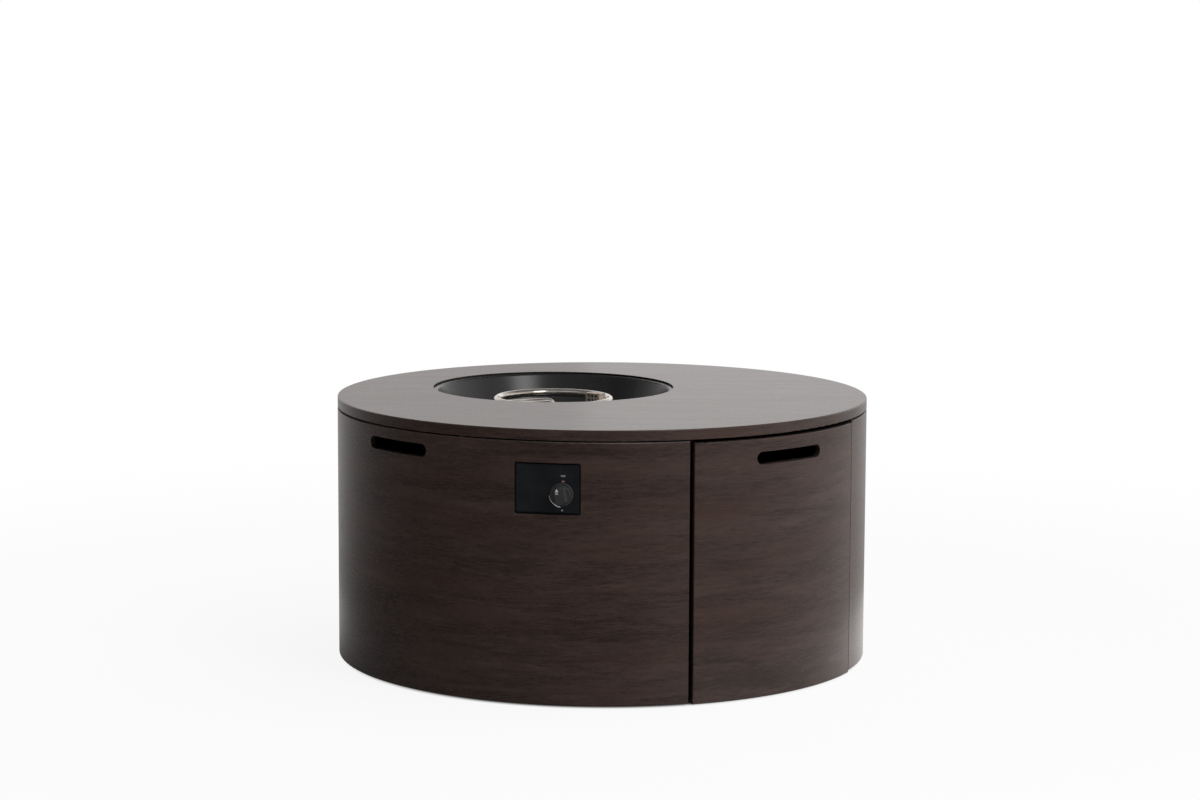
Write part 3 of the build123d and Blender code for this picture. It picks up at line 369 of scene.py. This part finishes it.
def moulded(name, colour, gloss):
    """Moulded plastic or rubber with a fine spark-eroded grain."""
    material, place, surface = new_finish(name, {"Specular IOR Level": 0.45})
    grain = place.noise((1500.0, 1500.0, 1500.0), 2.0, 0.5)
    rub = place.noise((40.0, 40.0, 40.0), 3.0, 0.6)
    light = tuple(part * 1.35 + 0.003 for part in colour)
    (rub.ease(0.4, 0.8) * 0.5).between(colour, light).into(surface, "Base Color")
    (gloss + rub * 0.12).into(surface, "Roughness")
    grain.relief(0.25, 0.00006).into(surface, "Normal")
    return material


def lathe(name, profile, steps=24, closed=False):
    """A turned mesh from rings of a radius, a height and a number of corners (0 for a round ring)."""
    made = bmesh.new()
    rings = []
    for radius, height, corners in profile:
        loop = []
        for step in range(steps):
            angle = 2 * pi * step / steps
            reach = radius
            if corners:
                sector = 2 * pi / corners
                reach = radius / cos((angle + sector / 2) % sector - sector / 2)
            loop.append(made.verts.new((reach * cos(angle), reach * sin(angle), height)))
        rings.append(loop)
    pairs = list(zip(rings, rings[1:])) + ([(rings[-1], rings[0])] if closed else [])
    for low, high in pairs:
        for step in range(steps):
            after = (step + 1) % steps
            made.faces.new((low[step], low[after], high[after], high[step]))
    if not closed:
        made.faces.new(rings[0])
        made.faces.new(rings[-1])
    bmesh.ops.recalc_face_normals(made, faces=made.faces)
    mesh = bpy.data.meshes.new(name)
    made.to_mesh(mesh)
    made.free()
    mesh.shade_smooth()
    mesh.set_sharp_from_angle(angle=radians(32))
    return mesh


ring_rule = bpy.data.node_groups.new("heads_in_a_ring", "GeometryNodeTree")
RING_INPUTS = (("Count", "Int"), ("Ring Radius", "Float"), ("Side", "Float"), ("Lean", "Float"),
               ("Stand", "Float"), ("Head", "Object"), ("Finish", "Material"))
for title, kind in RING_INPUTS:
    ring_rule.interface.new_socket(title, in_out="INPUT", socket_type="NodeSocket" + kind)
ring_rule.interface.new_socket("Heads", in_out="OUTPUT", socket_type="NodeSocketGeometry")
taken = ring_rule.nodes.new("NodeGroupInput")
count, ring_radius, side, lean, stand, head, finish = (
    Signal(ring_rule, taken.outputs[title]) for title, kind in RING_INPUTS)
angle = count.math("DIVIDE", count.node("GeometryNodeInputIndex", {}, {}) * (2 * pi), count)
along = angle.math("COSINE", angle, 0.0)
across = angle.math("SINE", angle, 0.0)
level_part = lean.math("COSINE", lean, 0.0) * side
upright_part = lean.math("SINE", lean, 0.0)
reach_out = ring_radius + stand * level_part
axis = {0: along * level_part, 1: across * level_part, 2: upright_part}
axis = count.node("ShaderNodeCombineXYZ", {}, axis)
seat = {0: along * reach_out, 1: across * reach_out, 2: stand * upright_part}
seat = count.node("ShaderNodeCombineXYZ", {}, seat)
seats = count.node("GeometryNodePoints", {}, {"Count": count, "Position": seat})
swing = axis.node("FunctionNodeAlignRotationToVector", {"axis": "Z"}, {"Vector": axis})
shape = head.node("GeometryNodeObjectInfo", {}, {"Object": head, "As Instance": True}, "Geometry")
spread = {"Points": seats, "Instance": shape, "Rotation": swing}
heads = seats.node("GeometryNodeInstanceOnPoints", {}, spread)
heads = heads.node("GeometryNodeRealizeInstances", {}, {"Geometry": heads})
heads = heads.node("GeometryNodeSetMaterial", {}, {"Geometry": heads, "Material": finish})
heads.into(ring_rule.nodes.new("NodeGroupOutput"), "Heads")


def ring_of_heads(name, head_mesh, sizes, material, places):
    """Rings of equal heads as one plain mesh, with a ring put at each of the places."""
    sample = show(name + "_head", head_mesh)
    carrier = show(name, bpy.data.meshes.new(name))
    modifier = carrier.modifiers.new("heads", "NODES")
    modifier.node_group = ring_rule
    chosen = dict(sizes, Head=sample, Finish=material)
    for socket in ring_rule.interface.items_tree:
        if socket.in_out == "INPUT":
            modifier[socket.identifier] = chosen[socket.name]
    bpy.context.view_layer.update()
    single = bpy.data.meshes.new_from_object(carrier.evaluated_get(bpy.context.evaluated_depsgraph_get()))
    carrier.modifiers.clear()
    bpy.data.objects.remove(sample)
    made = bmesh.new()
    for where in places:
        turned = single.copy()
        turned.transform(where)
        made.from_mesh(turned)
        bpy.data.meshes.remove(turned)
    whole = bpy.data.meshes.new(name)
    made.to_mesh(whole)
    made.free()
    whole.materials.append(material)
    carrier.data = whole
    return carrier


def upright_ring(count, radius):
    """The sizes of a ring whose heads all point straight up."""
    return {"Count": count, "Ring Radius": radius, "Side": 1.0, "Lean": pi / 2, "Stand": 0.0}


def turned_head(name, radius, height, outline):
    """A head that stands on a face, from shares of its radius and height with each ring's corners."""
    rings = [(radius * wide, height * high, corners) for wide, high, corners in outline]
    return lathe(name, [(radius, -HEAD_SINK, 0), *rings])


black_coat = powder_coat("black_powder_coat", COAT_BLACK, 0.42)
wear(["base_pan", "tank_collar"], black_coat)
wear(["base_rivets"], zinc)
collar_head = turned_head("collar_rivet", RIVET_RADIUS, RIVET_HEIGHT, RIVET_DOME)
collar_sizes = upright_ring(COLLAR_RIVETS, COLLAR_RIVET_RING)
collar_seat = Matrix.Translation(COLLAR_FLANGE)
collar_rivets = ring_of_heads("collar_rivets", collar_head, collar_sizes, zinc, [collar_seat])
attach(collar_rivets, "drum")
glide = moulded("glide_plastic", GLIDE_BLACK, 0.5)
wear(["feet"], glide)

# Door hinges and catches
# Two black steel goosenecks on the right panel curl round the door's swept edge and carry zinc pins with
# nylon washers. Two magnetic catches sit on the light stop at the other side.
FOOT_TURN = radians(23.87)
FOOT_OUT = 0.578
HINGE_LEVELS = (0.088, 0.474)
FOOT_SCREWS = 2
FOOT_SCREW_RING = 0.012
FOOT_SCREW_RADIUS = 0.0034
FOOT_SCREW_HEIGHT = 0.0021
HEX_BUTTON = ((1.0, 0.2, 0), (0.9, 0.62, 0), (0.66, 0.95, 0), (0.5, 1.0, 0), (0.4, 1.0, 6), (0.4, 0.3, 6))
NYLON_WHITE = (0.72, 0.71, 0.66)

wear(["hinge_goosenecks"], black_coat)
wear(["hinge_pins"], zinc)
to_foot = Vector((sin(FOOT_TURN), -cos(FOOT_TURN), 0.0))
foot_face = Vector((-cos(FOOT_TURN), -sin(FOOT_TURN), 0.0))
upright = Vector(UPWARD)
foot_axes = Matrix((upright, foot_face.cross(upright), foot_face)).transposed().to_4x4()
foot_spots = [to_foot * FOOT_OUT + upright * hinge_level for hinge_level in HINGE_LEVELS]
foot_places = [Matrix.Translation(spot) @ foot_axes for spot in foot_spots]
foot_head = turned_head("hinge_screw", FOOT_SCREW_RADIUS, FOOT_SCREW_HEIGHT, HEX_BUTTON)
foot_sizes = upright_ring(FOOT_SCREWS, FOOT_SCREW_RING)
hinge_screws = ring_of_heads("hinge_screws", foot_head, foot_sizes, zinc, foot_places)
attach(hinge_screws, "drum")
nylon = moulded("washer_nylon", NYLON_WHITE, 0.4)
wear(["hinge_washers"], nylon)
wear(["magnet_catches"], glide)

# Door
# A rolled steel panel like the drum's, a little proud of it, with folded edges and a hand slot. Two tabs
# inside it drop over the hinge pins.
DOOR_GRAIN_SHIFT = (2.3, 1.1, 0.37)  # so that the grain breaks off at the door's edges

door_grain, place, surface = new_finish("woodgrain_door", COAT_SHEEN)
wood_grain(place.moved(DOOR_GRAIN_SHIFT), surface, outside(place, "door"), SIDE_RELIEF)
wear(["door"], door_grain)
wear(["door_hinge_tabs"], black_coat)

# Control panel
# A blue-black bevelled plate in the drum's window, bonded to the bent steel bracket behind it. The dial round
# the knob is printed in white: OFF at the top and a flame wedge that grows towards HI.
PLATE_TURN = radians(-53.2)
PLATE_LEVEL = 0.4767
KNOB_ACROSS = 0.032
KNOB_UP = -0.011
PLATE_DARK = (0.0058, 0.0076, 0.0108)
PLATE_PALE = (0.0096, 0.0122, 0.0166)
PRINT_WHITE = (0.80, 0.80, 0.80)
PRINT_RED = (0.50, 0.27, 0.26)
INK_LIFT = 0.00006
OFF_SIZE = 0.0058
OFF_SPOT = (0.0018, 0.0385)
HI_SIZE = 0.0050
HI_SPOT = (-0.0005, -0.0352)
OFF_MARK = ((-0.0012, 0.0255), (0.0048, 0.0255), (0.0048, 0.0286), (-0.0012, 0.0286))
WEDGE_RADIUS = 0.030
WEDGE_START = radians(187)
WEDGE_SWEEP = radians(74)
WEDGE_STEPS = 24
WEDGE_TIP = 0.0006
WEDGE_GROWTH = 0.0022

plate_finish, place, surface = new_finish("control_plate_paint", {"Specular IOR Level": 0.4})
cloud = place.noise((30.0, 30.0, 30.0), 4.0, 0.6)
stipple = place.noise((900.0, 900.0, 900.0), 2.0, 0.5)
cloud.ease(0.35, 0.7).between(PLATE_DARK, PLATE_PALE).into(surface, "Base Color")
(0.40 + cloud * 0.12 + stipple * 0.06).into(surface, "Roughness")
stipple.relief(0.25, 0.0001).into(surface, "Normal")
wear(["control_panel"], plate_finish)
wear(["panel_bracket"], black_coat)

out_of_plate = Vector((sin(PLATE_TURN), -cos(PLATE_TURN), 0.0))
right_of_plate = Vector((cos(PLATE_TURN), sin(PLATE_TURN), 0.0))


def plate_place(out):
    """The frame on the knob's axis, X to the right, Y up and Z out, at a distance from the drum's axis."""
    origin = right_of_plate * KNOB_ACROSS + out_of_plate * out + upright * (PLATE_LEVEL + KNOB_UP)
    axes = Matrix((right_of_plate, upright, out_of_plate)).transposed()
    return Matrix.Translation(origin) @ axes.to_4x4()


def reach(name):
    """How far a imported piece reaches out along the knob's axis."""
    return max(vertex.co.dot(out_of_plate) for vertex in nodes[name].data.vertices)


def ink(name, colour):
    """Screen-printed ink, a little patchy."""
    material, place, surface = new_finish(name, {"Specular IOR Level": 0.3})
    patchy = place.noise((1400.0, 1400.0, 1400.0), 3.0, 0.6)
    thin = tuple(part * 0.72 for part in colour)
    patchy.ease(0.35, 0.7).between(thin, colour).into(surface, "Base Color")
    (0.5 + patchy * 0.15).into(surface, "Roughness")
    return material


def lettering(name, text, size, spot):
    """Printed capital letters, centred on a spot, as a thin raised film of ink."""
    curve = bpy.data.curves.new(name, "FONT")
    curve.body = text
    curve.size = size
    curve.align_x = "CENTER"
    curve.align_y = "CENTER"
    curve.extrude = INK_LIFT / 2
    source = show(name + "_curve", curve)
    bpy.context.view_layer.update()
    mesh = bpy.data.meshes.new_from_object(source.evaluated_get(bpy.context.evaluated_depsgraph_get()))
    bpy.data.objects.remove(source)
    mesh.transform(Matrix.Translation((*spot, INK_LIFT / 2)))
    return mesh


def film(outline):
    """A closed flat outline as a thin film of ink."""
    made = bmesh.new()
    low = [made.verts.new((x, y, 0.0)) for x, y in outline]
    face = made.faces.new(low)
    lifted = bmesh.ops.extrude_face_region(made, geom=[face])["geom"]
    high = [part for part in lifted if isinstance(part, bmesh.types.BMVert)]
    bmesh.ops.translate(made, vec=(0, 0, INK_LIFT), verts=high)
    bmesh.ops.recalc_face_normals(made, faces=made.faces)
    mesh = bpy.data.meshes.new("film")
    made.to_mesh(mesh)
    made.free()
    return mesh


def joined(name, meshes, placing, material, body):
    """Several flat meshes put in place together as one piece that rides on a body."""
    made = bmesh.new()
    for mesh in meshes:
        made.from_mesh(mesh)
    whole = bpy.data.meshes.new(name)
    made.to_mesh(whole)
    made.free()
    whole.transform(placing)
    whole.materials.append(material)
    piece = show(name, whole)
    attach(piece, body)
    return piece


wedge_angles = [WEDGE_START + WEDGE_SWEEP * step / WEDGE_STEPS for step in range(WEDGE_STEPS + 1)]
wedge = [(WEDGE_RADIUS * cos(angle), WEDGE_RADIUS * sin(angle)) for angle in wedge_angles]
for step, angle in reversed(list(enumerate(wedge_angles))):
    inner = WEDGE_RADIUS - WEDGE_TIP - WEDGE_GROWTH * step / WEDGE_STEPS
    wedge.append((inner * cos(angle), inner * sin(angle)))
white_ink = ink("white_ink", PRINT_WHITE)
plate_face = plate_place(reach("control_panel"))
dial = [lettering("off", "OFF", OFF_SIZE, OFF_SPOT), lettering("hi", "HI", HI_SIZE, HI_SPOT), film(wedge)]
dial = joined("dial_print", dial, plate_face, white_ink, "drum")
red_ink = ink("red_ink", PRINT_RED)
stop_mark = joined("off_mark_print", [film(OFF_MARK)], plate_face, red_ink, "drum")

# Valve and knob
# A brass valve behind the bracket, with its inlet nipple below. A spring lets the black moulded knob push in,
# and the knob turns the plated stem.
BRASS_YELLOW = (0.70, 0.52, 0.26)
KNOB_BLACK = (0.036, 0.036, 0.037)
POINTER_TIP = ((-0.0096, 0.0086), (-0.0024, 0.0086), (-0.0060, 0.0152))
POINTER_DASH = ((-0.0084, 0.0040), (-0.0030, 0.0040), (-0.0030, 0.0056), (-0.0084, 0.0056))
FLANGE_BACK = 0.59239
FLANGE_SCREWS = 2
FLANGE_SCREW_RING = 0.0205
FLANGE_SCREW_RADIUS = 0.0032
FLANGE_SCREW_HEIGHT = 0.0022
INLET_OUT = 0.56839
THREAD_CREST = 0.0087
THREAD_ROOT = 0.0080
THREAD_BORE = 0.0076
THREAD_LOW = 0.4160
THREAD_RISE = 0.0007
THREAD_RINGS = 17

brass = plated_steel("machined_brass", BRASS_YELLOW, 0.24)
wear(["valve_body", "inlet_nipple"], brass)
wear(["valve_plunger", "valve_stem"], zinc)
knob_plastic = moulded("knob_plastic", KNOB_BLACK, 0.36)
wear(["knob"], knob_plastic)
knob_face = plate_place(reach("knob"))
pointer = joined("knob_pointer", [film(POINTER_TIP), film(POINTER_DASH)], knob_face, white_ink, "knob")
flange_seat = plate_place(FLANGE_BACK) @ Matrix.Rotation(pi, 4, "Y")
flange_head = turned_head("valve_screw", FLANGE_SCREW_RADIUS, FLANGE_SCREW_HEIGHT, HEX_BUTTON)
flange_sizes = upright_ring(FLANGE_SCREWS, FLANGE_SCREW_RING)
valve_screws = ring_of_heads("valve_screws", flange_head, flange_sizes, zinc, [flange_seat])
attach(valve_screws, "drum")
levels = [THREAD_LOW + THREAD_RISE * step for step in range(THREAD_RINGS)]
turns = [(THREAD_CREST if step % 2 else THREAD_ROOT, rise, 0) for step, rise in enumerate(levels)]
turns = [(THREAD_BORE, levels[0], 0), *turns, (THREAD_BORE, levels[-1], 0)]
thread = lathe("inlet_thread", turns, steps=32, closed=True)
thread.transform(Matrix.Translation(right_of_plate * KNOB_ACROSS + out_of_plate * INLET_OUT))
thread.materials.append(brass)
thread = show("inlet_thread", thread)
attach(thread, "drum")

# Tabletop
# A round steel tray with a straight skirt and the same printed grain, which runs straight across it. Hat
# rails stiffen it, and screws hold it on rubber pads on the panels' upper folds.
GRAIN_TURN = radians(-42.2)
SKIRT_START = 0.0025  # below the top face, where the grain turns to run round the skirt
SKIRT_FADE = 0.0005
TOP_RELIEF = 0.03
RUBBER_BLACK = (0.016, 0.016, 0.016)

top_grain, place, surface = new_finish("woodgrain_top", COAT_SHEEN)
length = place.along((cos(GRAIN_TURN), sin(GRAIN_TURN), 0.0))
breadth = place.along((-sin(GRAIN_TURN), cos(GRAIN_TURN), 0.0))
height = place.along(UPWARD)
flat = place.node("ShaderNodeCombineXYZ", {}, {0: length, 1: height, 2: breadth})
skirt_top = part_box("tabletop")[1].z - SKIRT_START
on_top = height.ease(skirt_top - SKIRT_FADE, skirt_top + SKIRT_FADE)
laid = on_top.node("ShaderNodeMix", {"data_type": "VECTOR"}, {0: on_top, 4: place, 5: flat}, 1)
wood_grain(laid, surface, on_top.larger(outside(place, "tabletop")), TOP_RELIEF)
wear(["tabletop"], top_grain)
wear(["top_rails"], black_coat)
rubber = moulded("pad_rubber", RUBBER_BLACK, 0.62)
wear(["top_pads"], rubber)
wear(["top_screws"], zinc)

# Fire bowl
# A spun steel bowl in heat-proof black enamel, hung under the edge of the tabletop's hole on welded studs,
# with a black gasket between them.
ENAMEL_DARK = (0.0085, 0.0085, 0.0095)
ENAMEL_PALE = (0.0145, 0.0145, 0.0158)
SPECK_GREY = (0.16, 0.15, 0.15)

enamel, place, surface = new_finish("bowl_enamel", {"Specular IOR Level": 0.5})
haze = place.noise((9.0, 9.0, 9.0), 5.0, 0.6)
orange_peel = place.noise((260.0, 260.0, 260.0), 3.0, 0.55)
cells = place.node("ShaderNodeTexVoronoi", {}, {"Vector": place, "Scale": 95.0, "Randomness": 1.0})
specks = (1 - cells.ease(0.05, 0.16)) * place.noise((23.0, 23.0, 23.0), 2.0, 0.5).ease(0.52, 0.68)
char = haze.ease(0.3, 0.75).between(ENAMEL_DARK, ENAMEL_PALE)
(specks * 0.5).between(char, SPECK_GREY).into(surface, "Base Color")
(0.21 + haze * 0.12 + specks * 0.2).into(surface, "Roughness")
(orange_peel + specks * 0.6).relief(0.22, 0.0002).into(surface, "Normal")
wear(["fire_bowl"], enamel)
wear(["bowl_gasket"], rubber)
wear(["bowl_studs", "bowl_nuts"], zinc)

# Burner
# A stainless tube bent into a ring and welded, with a feed arm that turns down through the bowl's floor and
# two rows of ports drilled into its underside. Two locknuts hold it, and the galvanised air mixer and the
# brass orifice hang below.
BOWL_BACK = 0.171
RING_TUBE = 0.0095
PORTS = 40  # in each row
PORT_RADIUS = 0.0011
PORT_DEPTH = 0.0035
PORT_LEAN = radians(-35)
PORT_TURN = radians(3.5)
DRILL_PROUD = 0.0010
SOOT_SHADE_BEGINS = 0.0003  # in a port, below the tube's outside
SOOT_SHADE_FULL = 0.0007
STEEL_BRIGHT = (0.66, 0.64, 0.60)
STEEL_WARM = (0.52, 0.48, 0.42)
PORT_SOOT_AND_SHADE = (0.010, 0.009, 0.008)
SPANGLE_PALE = (0.56, 0.57, 0.58)
SPANGLE_GREY = (0.40, 0.41, 0.42)

ring_points = [vertex.co for vertex in nodes["burner_ring"].data.vertices]
ring_out = max(point.x for point in ring_points) - RING_TUBE
ring_level = max(point.z for point in ring_points) - RING_TUBE
stainless, place, surface = new_finish("polished_stainless", {"Metallic": 1.0})
drawn = place.noise((160.0, 160.0, 900.0), 3.0, 0.6)
smear = place.noise((26.0, 26.0, 26.0), 4.0, 0.6)
from_bowl = place.moved((0.0, -BOWL_BACK, -ring_level))
level_reach = from_bowl.stretched(NO_HEIGHT).length()
in_tube = place.node("ShaderNodeCombineXYZ", {}, {0: level_reach - ring_out, 2: from_bowl.along(UPWARD)})
# The port bores are painted near black towards their depth: painted shade in the holes, with soot.
soot_and_shade = 1 - in_tube.length().ease(RING_TUBE - SOOT_SHADE_FULL, RING_TUBE - SOOT_SHADE_BEGINS)
steel = smear.ease(0.35, 0.75).between(STEEL_BRIGHT, STEEL_WARM)
soot_and_shade.between(steel, PORT_SOOT_AND_SHADE).into(surface, "Base Color")
(0.07 + smear * 0.10 + drawn * 0.05 + soot_and_shade * 0.5).into(surface, "Roughness")
drawn.relief(0.08, 0.00006).into(surface, "Normal")
wear(["burner_ring", "pilot_bracket"], stainless)
ring_middle = Matrix.Translation((0, BOWL_BACK, ring_level)) @ Matrix.Rotation(PORT_TURN, 4, "Z")
drill = lathe("port_drill", ((PORT_RADIUS, -PORT_DEPTH, 0), (PORT_RADIUS, DRILL_PROUD, 0)), steps=10)
drills = []
for side in (-1.0, 1.0):
    sizes = {"Count": PORTS, "Ring Radius": ring_out, "Side": side, "Lean": PORT_LEAN, "Stand": RING_TUBE}
    drills.append(ring_of_heads("port_row", drill, sizes, stainless, [ring_middle]))
blank = bmesh.new()
blank.from_mesh(nodes["burner_ring"].data)
bmesh.ops.remove_doubles(blank, verts=blank.verts, dist=0.000002)
ring_mesh = bpy.data.meshes.new("burner_ring_drilled")
blank.to_mesh(ring_mesh)
blank.free()
ring_mesh.materials.append(stainless)
drilled = show("burner_ring_drilled", ring_mesh)
for row in drills:
    bore = drilled.modifiers.new("ports", "BOOLEAN")
    bore.operation = "DIFFERENCE"
    bore.solver = "EXACT"
    bore.object = row
bpy.context.view_layer.update()
ring_mesh = bpy.data.meshes.new_from_object(drilled.evaluated_get(bpy.context.evaluated_depsgraph_get()))
drilled.modifiers.clear()
drilled.data = ring_mesh
for row in drills:
    bpy.data.objects.remove(row)
ring_mesh.shade_smooth()
ring_mesh.set_sharp_from_angle(angle=radians(40))
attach(drilled, "drum")
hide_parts("burner_ring")
wear(["burner_locknuts"], zinc)
galvanised, place, surface = new_finish("galvanised_sheet", {"Metallic": 1.0})
spangle = place.node("ShaderNodeTexVoronoi", {}, {"Vector": place, "Scale": 70.0})
bloom = place.noise((18.0, 18.0, 18.0), 4.0, 0.6)
dulled = (spangle * 0.6 + bloom * 0.5).ease(0.25, 0.8)
dulled.between(SPANGLE_PALE, SPANGLE_GREY).into(surface, "Base Color")
(0.32 + spangle * 0.25 + bloom * 0.08).into(surface, "Roughness")
wear(["venturi_mixer"], galvanised)
wear(["gas_orifice"], brass)

# Pilot
# A folded stainless bracket on the bowl's floor carries a copper thermocouple and a ceramic spark electrode
# under a perforated hood of thin steel, which heat has tinted tan.
HOOD_TURN = radians(-81.3)
HOOD_WALL = 0.001
HOOD_FADE = 0.0002
HOOD_TINTS = ((0.30, (0.47, 0.37, 0.30)), (0.52, (0.68, 0.58, 0.49)), (0.75, (0.80, 0.72, 0.64)))
HOOD_SOOT_AND_SHADE = (0.012, 0.010, 0.009)
CERAMIC_WHITE = (0.72, 0.69, 0.63)
COPPER_RED = (0.62, 0.33, 0.20)

tinted, place, surface = new_finish("heat_tinted_steel", {})
scorch = place.noise((70.0, 70.0, 70.0), 4.0, 0.6)
outer_faces = []
for axis in ((cos(HOOD_TURN), sin(HOOD_TURN), 0.0), (-sin(HOOD_TURN), cos(HOOD_TURN), 0.0), UPWARD):
    reaches = [vertex.co.dot(Vector(axis)) for vertex in nodes["pilot_guard"].data.vertices]
    half = (max(reaches) - min(reaches) - HOOD_WALL) / 2
    away = place.along(axis) - (max(reaches) + min(reaches)) / 2
    outer_faces.append(away.math("ABSOLUTE", away, 0.0).ease(half - HOOD_FADE, half + HOOD_FADE))
# The hood's inside faces are painted near black: painted shade that darkens the holes, with soot.
outer_skin = outer_faces[0].larger(outer_faces[1]).larger(outer_faces[2])
outer_skin.between(HOOD_SOOT_AND_SHADE, scorch.ramp(*HOOD_TINTS)).into(surface, "Base Color")
(0.60 * outer_skin).into(surface, "Metallic")
(0.75 - 0.42 * outer_skin + scorch * 0.15).into(surface, "Roughness")
wear(["pilot_guard"], tinted)
ceramic = moulded("glazed_ceramic", CERAMIC_WHITE, 0.2)
wear(["spark_electrode"], ceramic)
copper = plated_steel("drawn_copper", COPPER_RED, 0.26)
wear(["thermocouple"], copper)

# Heat shield
# A galvanised steel disc with a turned-down rim, which keeps the bowl's heat off the space for the cylinder.
# Four plated standoffs hold it under the bowl.
wear(["heat_shield"], galvanised)
wear(["shield_standoffs"], zinc)

# Gas pipe and leads
# A bent aluminium pipe joins the valve to the orifice with brass flare nuts. The thermocouple's copper line
# and the igniter's sleeved wire run beside it.
ALUMINIUM_GREY = (0.72, 0.73, 0.74)
SLEEVE_RED = (0.30, 0.055, 0.035)

drawn_tube = plated_steel("drawn_aluminium", ALUMINIUM_GREY, 0.28)
wear(["gas_pipe"], drawn_tube)
wear(["flare_nuts"], brass)
wear(["thermocouple_line"], copper)
sleeve = moulded("silicone_sleeve", SLEEVE_RED, 0.45)
wear(["ignition_wire"], sleeve)
